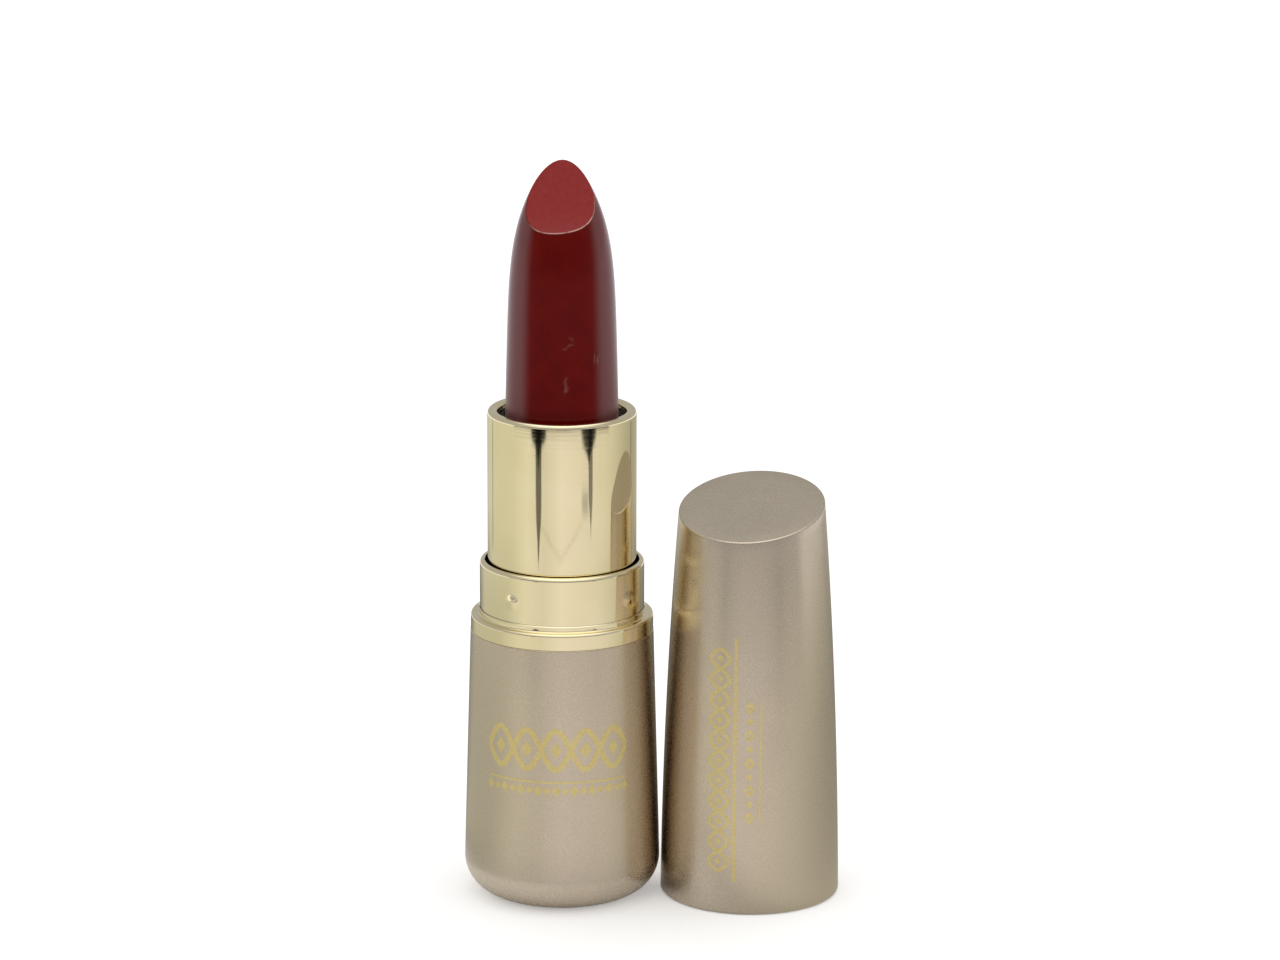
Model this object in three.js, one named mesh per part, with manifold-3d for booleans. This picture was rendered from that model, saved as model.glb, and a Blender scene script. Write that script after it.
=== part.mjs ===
// Lipstick case, opened: the twist-up base stands with its wax bullet raised, and its
// slant-topped cap stands beside it. Millimetres, +Z up. The origin is the middle of the
// base's foot, on the axis about which everything in the base turns.
//
// How it works: the fork is fixed in the base and has two upright slots. The spiral sleeve
// is fixed in the gold tube and has two helical slots. The cup that holds the wax has two
// pins that pass through both, so turning the tube in the base screws the cup up or down.

import * as THREE from "three";
import { mergeVertices } from "three/addons/utils/BufferGeometryUtils.js";
import Module from "manifold-3d";

const wasm = await Module();
wasm.setup();

// ---------------------------------------------------------------- driving dimensions

const SIDES = 36;                // facets around every turned piece
const ARC_STEPS = 4;             // facets in each rounded edge

// Clearances
const FIT_GAP = 0.05;            // between pieces that are glued or pressed together
const RUNNING_GAP = 0.1;         // between pieces that turn or slide on each other
const COLLAR_GAP = 0.3;          // between the gold tube and the collar it turns in
const WAX_GAP = 0.03;            // between the wax and its cup
const END_GAP = 0.1;             // under the turning tube, over the friction ring

// Radial build-up, from the wax outwards
const BULLET_RADIUS = 6.05;
const CUP_WALL = 0.32;
const FORK_WALL = 0.45;
const SLEEVE_WALL = 0.4;
const TUBE_WALL = 0.5;
const COLLAR_WALL = 0.55;
const SEAT_WIDTH = 0.98;         // how far the trim ring stands out around the collar
const SHELL_STEP = 0.04;         // the base shell's top edge stands out this far past the ring
const SHELL_WALL = 0.6;
const FOOT_SWELL = 0.72;         // how much wider the base is at its foot than at its top

// Mechanism heights
const CUP_HEIGHT = 10.4;
const CUP_FLOOR = 1.0;
const VENT_RADIUS = 1.5;         // hole in the cup's floor, where air leaves as the wax goes in
const TRAVEL = 28.0;             // how far the cup rises
const TURNS = 1.4;               // turns of the tube for the whole travel
const PIN_RADIUS = 0.9;
const PIN_HEIGHT = 2.5;          // pin centres above the cup's underside
const PARK_GAP = 1.1;            // under the cup when it is wound down
const RIM_GAP = 1.3;             // from the raised cup's top to the tube's rim
const RIM_LIP = 1.13;            // how far the tube's rim rolls in over the mechanism
const RIM_THICKNESS = 0.8;
const LIP_CLEARANCE = 0.3;       // between the rolled rim and the mechanism's tops
const BEAD_RISE = 0.2;           // snap bead on the fork, in a groove of the sleeve
const BEAD_HEIGHT = 0.7;
const BEAD_START = 0.6;          // bead above the sleeve's bottom end

// Wax bullet
const TIP_COVER = 1.2;           // wound down, the wax's tip is this far below the rim
const TIP_TRIM = 2.09;           // the uncut nose's apex above the cut tip
const NOSE_POWER = 5.6;          // the higher it is, the later the nose draws in
const NOSE_POINT = 1.25;         // below 1 the apex is blunt, above 1 it is pointed
const NOSE_TAPER = 0.67;         // straight taper of the radius from the rim to the apex
const FACET_DROP = 4.53;         // the facet crosses the axis this far below the apex
const FACET_SLOPE_Y = 1.52;      // rise of the facet for each millimetre towards the back
const FACET_SLOPE_X = 0.088;     // and to the right
const FACET_SCOOP = 0.128;       // and for each square millimetre, which makes it hollow

// Base
const BASE_HEIGHT = 29.5;
const BOTTOM_WALL = 1.2;
const LABEL_RADIUS = 5.8;
const LABEL_THICKNESS = 0.4;
const LABEL_GAP = 0.2;
const FOOT_ROUND = 4.0;
const WEIGHT_HEIGHT = 5.6;
const WEIGHT_GAP = 0.5;
const LINER_FLOOR = 1.2;
const KNOB_RADIUS = 5.0;
const KNOB_HEIGHT = 4.0;
const FORK_FLOOR = 0.9;
const FRICTION_HEIGHT = 0.8;

// Collar and trim ring
const RING_HEIGHT = 1.8;
const RING_STEP_HEIGHT = 0.65;   // low step of the ring against the collar
const RING_STEP_WIDTH = 0.2;
const COLLAR_ABOVE_RING = 5.9;
const COLLAR_DEPTH = 8.0;        // how deep the collar sits in the base
const EDGE_ROUND = 0.4;
const PIP_COUNT = 4;
const PIP_START = 53.75;         // degrees
const PIP_RADIUS = 0.75;
const PIP_RISE = 0.2;
const PIP_HEIGHT = 2.8;          // pip centres above the ring's seat

// Cap
const CAP_APART = 0.13;          // between the base's foot and the cap that stands beside it
const CAP_HEIGHT = 43.06;        // at the cap's axis
const CAP_CLEARANCE = 0.08;      // between the cap's liner and the collar
const CAP_LINER_WALL = 0.32;
const CAP_WALL = 0.4;
const CAP_TOP_WALL = 0.7;
const CAP_DRAW_IN = 1.85;        // how much narrower the cap is at its height than at its mouth
const CAP_DRAW_LINEAR = 0.24;    // the straight share of that taper; the rest curves
const CAP_SLOPE_X = 0.075;       // rise of the slanted top for each millimetre to the right
const CAP_SLOPE_Y = 0.25;        // and towards the back
const HEM_HEIGHT = 0.9;
const HEM_WIDTH = 0.55;
const HEM_ROUND = 0.45;
const LINER_SETBACK = 0.1;       // above the hem
const LEAD_IN = 0.5;             // chamfer at the liner's mouth
const RIM_CLEARANCE = 0.2;       // between the gold tube and the liner
const LINER_ROOF = 1.2;
const CAP_WEIGHT_HEIGHT = 6.0;
const CAP_WEIGHT_GAP = 0.4;

// ---------------------------------------------------------------- derived places

const cupInner = BULLET_RADIUS + WAX_GAP;
const cupOuter = cupInner + CUP_WALL;
const forkInner = cupOuter + RUNNING_GAP;
const forkOuter = forkInner + FORK_WALL;
const sleeveInner = forkOuter + RUNNING_GAP;
const sleeveOuter = sleeveInner + SLEEVE_WALL;
const tubeInner = sleeveOuter + FIT_GAP;
const tubeOuter = tubeInner + TUBE_WALL;
const collarInner = tubeOuter + COLLAR_GAP;
const collarOuter = collarInner + COLLAR_WALL;
const ringOuter = collarOuter + SEAT_WIDTH;
const baseTopRadius = ringOuter + SHELL_STEP;
const baseFootRadius = baseTopRadius + FOOT_SWELL;

const weightTop = BOTTOM_WALL + WEIGHT_HEIGHT;
const socketFloor = weightTop + LINER_FLOOR;
const forkBottom = socketFloor + KNOB_HEIGHT;
const forkFloorTop = forkBottom + FORK_FLOOR;
const tubeBottom = forkFloorTop + FRICTION_HEIGHT + END_GAP;
const cupLow = forkFloorTop + PARK_GAP;
const cupBottom = cupLow + TRAVEL;
const cupTop = cupBottom + CUP_HEIGHT;
const rimTop = cupTop + RIM_GAP;
const mechanismTop = rimTop - RIM_THICKNESS - LIP_CLEARANCE;
const pinZ = cupBottom + PIN_HEIGHT;
const collarBottom = BASE_HEIGHT - COLLAR_DEPTH;
const seatZ = BASE_HEIGHT + RING_HEIGHT;
const collarTop = seatZ + COLLAR_ABOVE_RING;
const apexZ = rimTop + TRAVEL - TIP_COVER + TIP_TRIM;

const linerMouth = collarOuter + CAP_CLEARANCE;
const capMouthRadius = linerMouth + CAP_LINER_WALL + FIT_GAP + CAP_WALL;
const capSlope = Math.hypot(CAP_SLOPE_X, CAP_SLOPE_Y);
const capX = baseFootRadius + capMouthRadius + CAP_APART;
const capPeak = CAP_HEIGHT + capSlope * capMouthRadius;

// Outside radius of the base shell at height z, above its rounded foot.
function baseRadius(z) {
  return baseFootRadius - FOOT_SWELL * (z - FOOT_ROUND) / (BASE_HEIGHT - FOOT_ROUND);
}

// Outside radius of the cap at height z: a slight taper that curves in towards the top.
function capRadius(z) {
  const u = z / CAP_HEIGHT;
  return capMouthRadius - CAP_DRAW_IN * (CAP_DRAW_LINEAR * u + (1 - CAP_DRAW_LINEAR) * u * u);
}

// ---------------------------------------------------------------- shape helpers

// Points of an arc in the profile plane, with angles in degrees and both ends included.
function arc(centreR, centreZ, radius, from, to, steps = ARC_STEPS) {
  const points = [];
  for (let i = 0; i <= steps; i++) {
    const angle = THREE.MathUtils.degToRad(from + (to - from) * i / steps);
    points.push([centreR + radius * Math.cos(angle), centreZ + radius * Math.sin(angle)]);
  }
  return points;
}

// Heights from a to b in equal steps, both ends included.
function levels(a, b, steps) {
  return Array.from({ length: steps + 1 }, (_, i) => a + (b - a) * i / steps);
}

// A solid of revolution about Z from [radius, height] points that start and end on the axis.
function turned(profile) {
  const points = profile.map(([r, z]) => new THREE.Vector2(r, z));
  return new THREE.LatheGeometry(points, SIDES).rotateX(Math.PI / 2);
}

// The same from a profile that closes on itself, for a ring or a tube.
function turnedRing(profile) {
  return turned([...profile, profile[0]]);
}

// A three.js geometry as a manifold solid, with its shared vertices merged.
function solid(geometry) {
  const bare = geometry.clone();
  bare.deleteAttribute("normal");
  bare.deleteAttribute("uv");
  const merged = mergeVertices(bare, 1e-4);
  const index = merged.index.array;
  const triangles = [];
  for (let i = 0; i < index.length; i += 3) {
    const [a, b, c] = [index[i], index[i + 1], index[i + 2]];
    if (a !== b && b !== c && c !== a) triangles.push(a, b, c);
  }
  return new wasm.Manifold(new wasm.Mesh({
    numProp: 3,
    vertProperties: new Float32Array(merged.attributes.position.array),
    triVerts: new Uint32Array(triangles),
  }));
}

// A manifold solid as a three.js geometry.
function shape(manifold) {
  const mesh = manifold.getMesh();
  const geometry = new THREE.BufferGeometry();
  geometry.setAttribute("position", new THREE.BufferAttribute(mesh.vertProperties, 3));
  geometry.setIndex(new THREE.BufferAttribute(mesh.triVerts, 1));
  geometry.computeVertexNormals();
  return geometry;
}

// A large block that holds everything above the plane z = height + slopeX x + slopeY y.
function above(height, slopeX, slopeY) {
  const size = 120;
  const block = new THREE.BoxGeometry(size, size, size).translate(0, 0, size / 2);
  const normal = new THREE.Vector3(-slopeX, -slopeY, 1).normalize();
  block.applyQuaternion(new THREE.Quaternion().setFromUnitVectors(new THREE.Vector3(0, 0, 1), normal));
  return solid(block.translate(0, 0, height));
}

// A block that holds everything above a hollow slant,
// z = height + slopeX x + slopeY y + scoop y^2, for pieces within the given reach of Z.
function aboveScoop({ height, slopeX, slopeY, scoop, reach }) {
  const steps = 16;
  const outline = new THREE.Shape().moveTo(reach, 4 * reach).lineTo(-reach, 4 * reach);
  for (let i = 0; i <= steps; i++) {
    const y = reach * (2 * i / steps - 1);
    outline.lineTo(y, slopeY * y + scoop * y * y);
  }
  const block = new THREE.ExtrudeGeometry(outline, { depth: 2 * reach, bevelEnabled: false });
  const [along, up, across] = [[0, 1, 0], [0, 0, 1], [1, 0, slopeX]].map((v) => new THREE.Vector3(...v));
  block.translate(0, 0, -reach).applyMatrix4(new THREE.Matrix4().makeBasis(along, up, across));
  return solid(block.translate(0, 0, height));
}

// A helical bar of rectangular section about Z: it climbs right-handed through the point
// at angle 0, height z, and runs back from there by the given number of turns.
function helicalBar({ inner, outer, halfHeight, z, turns, overrun, start }) {
  const stepsPerTurn = 24;
  const lead = TRAVEL / TURNS;
  const from = -turns * 2 * Math.PI - overrun;
  const steps = Math.ceil((overrun - from) / (2 * Math.PI) * stepsPerTurn);
  const positions = [];
  const index = [];
  for (let i = 0; i <= steps; i++) {
    const along = from + (overrun - from) * i / steps;
    const height = z + lead * along / (2 * Math.PI);
    const [c, s] = [Math.cos(along + start), Math.sin(along + start)];
    for (const [r, dz] of [[inner, -1], [outer, -1], [outer, 1], [inner, 1]]) {
      positions.push(r * c, r * s, height + dz * halfHeight);
    }
    if (i === 0) continue;
    const [a, b] = [4 * (i - 1), 4 * i];
    for (let k = 0; k < 4; k++) {
      const n = (k + 1) % 4;
      index.push(a + k, b + n, a + n, a + k, b + k, b + n);
    }
  }
  const last = 4 * steps;
  index.push(0, 1, 2, 0, 2, 3, last, last + 2, last + 1, last, last + 3, last + 2);
  const geometry = new THREE.BufferGeometry();
  geometry.setAttribute("position", new THREE.Float32BufferAttribute(positions, 3));
  geometry.setIndex(index);
  return solid(geometry);
}

// ---------------------------------------------------------------- pieces of the base

// Closed-bottomed outer shell with a large rounded foot and a shallow recess for the label.
function baseShell() {
  const recess = LABEL_RADIUS + LABEL_GAP;
  const flat = baseFootRadius - FOOT_ROUND;
  const innerRound = FOOT_ROUND - SHELL_WALL;
  const floorAngle = -THREE.MathUtils.radToDeg(Math.asin((FOOT_ROUND - BOTTOM_WALL) / innerRound));
  return turned([
    [0, LABEL_THICKNESS],
    [recess, LABEL_THICKNESS],
    [recess, 0],
    ...arc(flat, FOOT_ROUND, FOOT_ROUND, -90, 0, 6),
    [baseTopRadius, BASE_HEIGHT],
    [baseTopRadius - SHELL_WALL, BASE_HEIGHT],
    ...arc(flat, FOOT_ROUND, innerRound, 0, floorAngle),
    [0, BOTTOM_WALL],
  ]);
}

// Blank disc that fills the recess under the foot.
function shadeLabel() {
  return turned([[0, 0], [LABEL_RADIUS, 0], [LABEL_RADIUS, LABEL_THICKNESS], [0, LABEL_THICKNESS]]);
}

// Steel slug on the shell's floor, which makes the base heavy enough to stand.
function baseWeight() {
  const radius = baseRadius(weightTop) - SHELL_WALL - WEIGHT_GAP;
  const bevel = 1.4;
  return turned([
    [0, BOTTOM_WALL],
    [radius - bevel, BOTTOM_WALL],
    [radius, BOTTOM_WALL + bevel],
    [radius, weightTop],
    [0, weightTop],
  ]);
}

// Plastic body that fills the shell: a socket for the fork's knob, a well for the tube and
// a counterbore for the collar.
function baseLiner() {
  const outerAt = (z) => baseRadius(z) - SHELL_WALL - FIT_GAP;
  const well = tubeOuter + RUNNING_GAP;
  return turned([
    [0, weightTop],
    [outerAt(weightTop), weightTop],
    [outerAt(BASE_HEIGHT), BASE_HEIGHT],
    [collarOuter + FIT_GAP, BASE_HEIGHT],
    [collarOuter + FIT_GAP, collarBottom],
    [well, collarBottom],
    [well, forkBottom],
    [KNOB_RADIUS + FIT_GAP, forkBottom],
    [KNOB_RADIUS + FIT_GAP, socketFloor],
    [0, socketFloor],
  ]);
}

// Inner tube with a knob below, a flange, a snap bead and two upright slots for the pins.
function forkTube() {
  const beadZ = tubeBottom + BEAD_START;
  const body = solid(turned([
    [0, socketFloor],
    [KNOB_RADIUS, socketFloor],
    [KNOB_RADIUS, forkBottom],
    [sleeveOuter, forkBottom],
    [sleeveOuter, forkFloorTop],
    [forkOuter, forkFloorTop],
    [forkOuter, beadZ],
    [forkOuter + BEAD_RISE, beadZ + BEAD_HEIGHT / 2],
    [forkOuter, beadZ + BEAD_HEIGHT],
    [forkOuter, mechanismTop],
    [forkInner, mechanismTop],
    [forkInner, forkFloorTop],
    [0, forkFloorTop],
  ]));
  const width = 2 * (PIN_RADIUS + 2 * RUNNING_GAP);
  const slot = new THREE.BoxGeometry(4 * forkOuter, width, TRAVEL + width);
  return shape(body.subtract(solid(slot.translate(0, 0, pinZ - TRAVEL / 2))));
}

// Soft ring that gives the turning tube its drag.
function frictionRing() {
  const chamfer = 0.15;
  const top = forkFloorTop + FRICTION_HEIGHT;
  return turnedRing([
    [forkOuter + FIT_GAP, forkFloorTop],
    [sleeveOuter, forkFloorTop],
    [sleeveOuter, top - chamfer],
    [sleeveOuter - chamfer, top],
    [forkOuter + FIT_GAP + chamfer, top],
    [forkOuter + FIT_GAP, top - chamfer],
  ]);
}

// Gold sleeve fixed in the base. Its round pips hold the cap on.
function collar() {
  const body = solid(turnedRing([
    [collarInner, collarBottom],
    [collarOuter, collarBottom],
    ...arc(collarOuter - EDGE_ROUND, collarTop - EDGE_ROUND, EDGE_ROUND, 0, 90),
    [collarInner, collarTop - EDGE_ROUND / 4],
  ]));
  let pips = body;
  for (let i = 0; i < PIP_COUNT; i++) {
    const pip = new THREE.SphereGeometry(PIP_RADIUS, 12, 8);
    pip.translate(collarOuter + PIP_RISE - PIP_RADIUS, 0, seatZ + PIP_HEIGHT);
    pip.rotateZ(THREE.MathUtils.degToRad(PIP_START + 360 * i / PIP_COUNT));
    pips = pips.add(solid(pip));
  }
  const bore = solid(turned([[0, 0], [collarInner, 0], [collarInner, collarTop], [0, collarTop]]));
  return shape(pips.subtract(bore));
}

// Gold ring that covers the shell's top edge and is the seat of the closed cap.
function trimRing() {
  const edge = 0.25;
  const inner = collarOuter + FIT_GAP;
  return turnedRing([
    [inner, BASE_HEIGHT],
    [ringOuter, BASE_HEIGHT],
    ...arc(ringOuter - edge, seatZ - edge, edge, 0, 90, 2),
    [inner + RING_STEP_WIDTH, seatZ],
    [inner + RING_STEP_WIDTH, seatZ + RING_STEP_HEIGHT],
    [inner, seatZ + RING_STEP_HEIGHT],
  ]);
}

// ---------------------------------------------------------------- pieces that turn

// Polished gold tube whose rim rolls inwards over the mechanism.
function outerTube() {
  const outerRound = 0.6;
  const innerRound = 0.4;
  const lip = tubeOuter - RIM_LIP;
  return turnedRing([
    [tubeInner, tubeBottom],
    [tubeOuter, tubeBottom],
    ...arc(tubeOuter - outerRound, rimTop - outerRound, outerRound, 0, 90),
    ...arc(lip + innerRound, rimTop - innerRound, innerRound, 90, 180, 3),
    [lip, rimTop - RIM_THICKNESS],
    [tubeInner, rimTop - RIM_THICKNESS],
  ]);
}

// Sleeve with two helical slots, one for each pin, and a groove for the fork's snap bead.
function spiralSleeve() {
  const grooveZ = tubeBottom + BEAD_START - RUNNING_GAP;
  const grooveTop = grooveZ + BEAD_HEIGHT + 2 * RUNNING_GAP;
  let body = solid(turnedRing([
    [sleeveInner, tubeBottom],
    [sleeveOuter, tubeBottom],
    [sleeveOuter, mechanismTop],
    [sleeveInner, mechanismTop],
    [sleeveInner, grooveTop],
    [sleeveInner + BEAD_RISE, grooveTop],
    [sleeveInner + BEAD_RISE, grooveZ],
    [sleeveInner, grooveZ],
  ]));
  const reach = PIN_RADIUS + 1.5 * RUNNING_GAP;
  const leadAngle = Math.atan(TRAVEL / TURNS / (2 * Math.PI * sleeveInner));
  for (const start of [0, Math.PI]) {
    body = body.subtract(helicalBar({
      inner: forkInner,
      outer: tubeOuter,
      halfHeight: reach / Math.cos(leadAngle),
      z: pinZ,
      turns: TURNS,
      overrun: reach / sleeveInner,
      start,
    }));
  }
  return shape(body);
}

// ---------------------------------------------------------------- pieces that rise

// Open cup for the wax, with a vented floor and two pins.
function bulletCup() {
  let body = solid(turnedRing([
    [VENT_RADIUS, cupBottom],
    [cupOuter, cupBottom],
    [cupOuter, cupTop],
    [cupInner, cupTop],
    [cupInner, cupBottom + CUP_FLOOR],
    [VENT_RADIUS, cupBottom + CUP_FLOOR],
  ]));
  const pinEnd = sleeveOuter - RUNNING_GAP;
  const pinStart = cupInner + CUP_WALL / 2;
  for (const side of [-1, 1]) {
    const pin = new THREE.CylinderGeometry(PIN_RADIUS, PIN_RADIUS, pinEnd - pinStart, 16);
    pin.rotateZ(Math.PI / 2).translate(side * (pinStart + pinEnd) / 2, 0, pinZ);
    body = body.add(solid(pin));
  }
  return shape(body);
}

// Wax: a turned stick that draws in from the rim upwards to a nose, with one scooped facet.
function bullet() {
  const noseSteps = 14;
  const noseHeight = apexZ - rimTop;
  const nose = [];
  for (let i = 0; i <= noseSteps; i++) {
    const u = Math.sin(Math.PI / 2 * i / noseSteps);
    const radius = (BULLET_RADIUS - NOSE_TAPER * u) * (1 - u ** NOSE_POWER) ** NOSE_POINT;
    nose.push([i === noseSteps ? 0 : radius, rimTop + noseHeight * u]);
  }
  const body = solid(turned([
    [0, cupBottom + CUP_FLOOR],
    [BULLET_RADIUS, cupBottom + CUP_FLOOR],
    ...nose,
  ]));
  return shape(body.subtract(aboveScoop({
    height: apexZ - FACET_DROP,
    slopeX: FACET_SLOPE_X,
    slopeY: FACET_SLOPE_Y,
    scoop: FACET_SCOOP,
    reach: 1.5 * BULLET_RADIUS,
  })));
}

// ---------------------------------------------------------------- pieces of the cap

// Thin outer shell with a slanted flat top and a hem at its mouth.
function capShell() {
  const heights = levels(HEM_HEIGHT, capPeak, 8);
  const outside = solid(turned([
    [0, 0],
    ...arc(capRadius(0) - HEM_ROUND, HEM_ROUND, HEM_ROUND, -90, 0, 3),
    ...heights.map((z) => [capRadius(z), z]),
    [0, capPeak],
  ]));
  const hem = capMouthRadius - HEM_WIDTH;
  const inside = solid(turned([
    [0, -HEM_HEIGHT],
    [hem, -HEM_HEIGHT],
    [hem, HEM_HEIGHT],
    ...heights.map((z) => [capRadius(z) - CAP_WALL, z]),
    [0, capPeak],
  ]));
  const cut = outside.subtract(above(CAP_HEIGHT, CAP_SLOPE_X, CAP_SLOPE_Y));
  return shape(cut.subtract(inside.subtract(above(CAP_HEIGHT - CAP_TOP_WALL, CAP_SLOPE_X, CAP_SLOPE_Y))));
}

const capWeightTop = CAP_HEIGHT - CAP_TOP_WALL - capSlope * capRadius(CAP_HEIGHT) - CAP_WEIGHT_GAP;
const capWeightBottom = capWeightTop - CAP_WEIGHT_HEIGHT;
const linerOuter = (z) => capRadius(z) - CAP_WALL - FIT_GAP;

// Inner liner that grips the collar: wide at its mouth, narrower past the collar, and
// closed by a roof. A shallow groove takes the collar's pips.
function capLiner() {
  const mouth = HEM_HEIGHT + LINER_SETBACK;
  const shoulder = COLLAR_ABOVE_RING + LEAD_IN;
  const narrow = tubeOuter + RIM_CLEARANCE;
  const rim = rimTop - seatZ + LEAD_IN;
  const ceiling = capWeightBottom - LINER_ROOF;
  const roofInner = Math.min(narrow, linerOuter(ceiling) - CAP_LINER_WALL);
  const groove = PIP_RISE - CAP_CLEARANCE;
  return turned([
    [0, ceiling],
    [roofInner, ceiling],
    [narrow, rim],
    [narrow, shoulder + 1.5 * LEAD_IN],
    [linerMouth, shoulder],
    [linerMouth, PIP_HEIGHT + PIP_RADIUS],
    [linerMouth + groove, PIP_HEIGHT + PIP_RADIUS / 3],
    [linerMouth + groove, PIP_HEIGHT - PIP_RADIUS / 3],
    [linerMouth, PIP_HEIGHT - PIP_RADIUS],
    [linerMouth, mouth + LEAD_IN / 4],
    [linerMouth + CAP_LINER_WALL / 2, mouth],
    [linerOuter(mouth), mouth],
    ...levels(PIP_HEIGHT, capWeightBottom, 5).map((z) => [linerOuter(z), z]),
    [0, capWeightBottom],
  ]);
}

// Steel slug under the slanted top, which gives the cap its weight.
function capWeight() {
  const bevel = 0.5;
  const radius = linerOuter(capWeightTop) - FIT_GAP;
  return turned([
    [0, capWeightBottom],
    [radius, capWeightBottom],
    [radius, capWeightTop - bevel],
    [radius - bevel, capWeightTop],
    [0, capWeightTop],
  ]);
}

// ---------------------------------------------------------------- the assembly

function material(color, roughness, metalness) {
  return new THREE.MeshStandardMaterial({ color, roughness, metalness });
}

const champagne = () => material(0xd9b98f, 0.35, 0.9);
const gold = () => material(0xd8a860, 0.15, 1.0);
const steel = () => material(0xa8a8aa, 0.4, 1.0);
const darkPlastic = () => material(0x1c1a1a, 0.45, 0.0);
const palePlastic = () => material(0xe6ded2, 0.5, 0.0);

function add(group, name, geometry, finish) {
  const mesh = new THREE.Mesh(geometry, finish);
  mesh.name = name;
  group.add(mesh);
}

const lipstick = new THREE.Group();

const base = new THREE.Group();
add(base, "base_shell", baseShell(), champagne());
add(base, "shade_label", shadeLabel(), material(0xefe6da, 0.6, 0.0));
add(base, "base_weight", baseWeight(), steel());
add(base, "base_liner", baseLiner(), darkPlastic());
add(base, "fork_tube", forkTube(), darkPlastic());
add(base, "friction_ring", frictionRing(), material(0x3a3836, 0.8, 0.0));
add(base, "collar", collar(), gold());
add(base, "trim_ring", trimRing(), gold());
lipstick.add(base);

const turning = new THREE.Group();
add(turning, "outer_tube", outerTube(), gold());
add(turning, "spiral_sleeve", spiralSleeve(), palePlastic());
lipstick.add(turning);

const rising = new THREE.Group();
add(rising, "bullet_cup", bulletCup(), palePlastic());
add(rising, "bullet", bullet(), material(0x6e1018, 0.45, 0.0));
lipstick.add(rising);

const cap = new THREE.Group();
cap.position.x = capX;
add(cap, "cap_shell", capShell(), champagne());
add(cap, "cap_liner", capLiner(), darkPlastic());
add(cap, "cap_weight", capWeight(), steel());
lipstick.add(cap);

export default lipstick;
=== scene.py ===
# %% [markdown]
# # A twist-up lipstick case, open, with its cap beside it
#
# A lipstick case is a stack of turned pieces on one axis, so nearly everything here is an
# outline that is spun round that axis. What makes it look real is not the outline but the
# edges, which are always slightly rounded and catch a line of light, and the finishes: satin
# lacquer with a fine grain, polished gold that mirrors the studio, and soft wax.
#
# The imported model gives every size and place. It is loaded first and never changed.

# %% Load the frame
import math

import bpy
import numpy as np
from mathutils import Matrix, Vector


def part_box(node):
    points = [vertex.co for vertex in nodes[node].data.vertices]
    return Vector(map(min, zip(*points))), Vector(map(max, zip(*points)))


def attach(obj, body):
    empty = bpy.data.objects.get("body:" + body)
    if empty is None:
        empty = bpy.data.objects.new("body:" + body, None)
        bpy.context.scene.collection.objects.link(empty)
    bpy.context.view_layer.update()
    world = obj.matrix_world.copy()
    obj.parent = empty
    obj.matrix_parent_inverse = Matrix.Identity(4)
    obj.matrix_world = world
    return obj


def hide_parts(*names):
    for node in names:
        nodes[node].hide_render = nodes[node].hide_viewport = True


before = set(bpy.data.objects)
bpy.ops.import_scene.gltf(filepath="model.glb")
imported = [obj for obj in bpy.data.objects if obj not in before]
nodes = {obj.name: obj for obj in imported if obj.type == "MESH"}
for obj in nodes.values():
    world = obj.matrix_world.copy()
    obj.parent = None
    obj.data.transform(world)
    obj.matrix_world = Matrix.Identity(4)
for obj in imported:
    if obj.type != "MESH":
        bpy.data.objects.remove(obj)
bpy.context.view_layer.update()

# %% [markdown]
# ## Camera
#
# Something this small is looked at from about half a metre with a long lens, a little from
# above. A long lens keeps the upright edges nearly parallel. The camera stands in front, which
# is -Y, and looks along +Y. It comes before any piece, so that the first rough shapes can
# already be compared with the real thing.

# %% Camera
MM = 0.001
CAMERA_PLACE = Vector((8.36, -550.0, 185.1)) * MM
CAMERA_DIP = 0.248          # radians below the horizon
CAMERA_ROLL = 0.003
LENS = 148.9                # millimetres
SENSOR = 36.0

camera = bpy.data.objects.new("camera", bpy.data.cameras.new("camera"))
bpy.context.collection.objects.link(camera)
aim = Matrix.Rotation(math.pi / 2 - CAMERA_DIP, 4, "X") @ Matrix.Rotation(CAMERA_ROLL, 4, "Z")
camera.matrix_world = Matrix.Translation(CAMERA_PLACE) @ aim
camera.data.lens = LENS
camera.data.sensor_width = SENSOR
bpy.context.scene.camera = camera

# %% [markdown]
# ## Reading sizes from the frame
#
# Turned pieces need radii and heights, in millimetres from the axis and the table. Both come
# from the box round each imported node, so a change of size in the model carries through to
# every fine mesh below.

# %% Sizes from the frame
def half_width(node):
    low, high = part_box(node)
    return (high[0] - low[0]) / 2 / MM


def bottom(node):
    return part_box(node)[0][2] / MM


def top(node):
    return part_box(node)[1][2] / MM


cap_low, cap_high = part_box("cap_shell")
cap_x = (cap_low[0] + cap_high[0]) / 2 / MM
print("cap axis at x =", round(cap_x, 3), "mm")

# %% [markdown]
# ## The lathe
#
# Blender has a Screw modifier that spins an outline, but two pieces here aren't quite round:
# the wax and the cap both end in a slanted flat. So this small lathe takes either one outline
# or a function that gives the outline for each direction, and joins neighbours with quads. An
# outline that starts or ends on the axis is closed there by a fan of triangles.
#
# Outlines run anticlockwise, with the radius to the right and the height up, so that the
# faces point out of the material.

# %% Lathe helpers
SEGMENTS = 256
HOLD = 0.06                 # rings this near to a corner keep a flat wall flat in its reflections


def arc(centre_r, centre_z, radius, start, end, steps=8):
    """Points of a rounded edge, with angles in degrees."""
    angles = np.radians(np.linspace(start, end, steps + 1))
    return [(centre_r + radius * math.cos(a), centre_z + radius * math.sin(a)) for a in angles]


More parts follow.
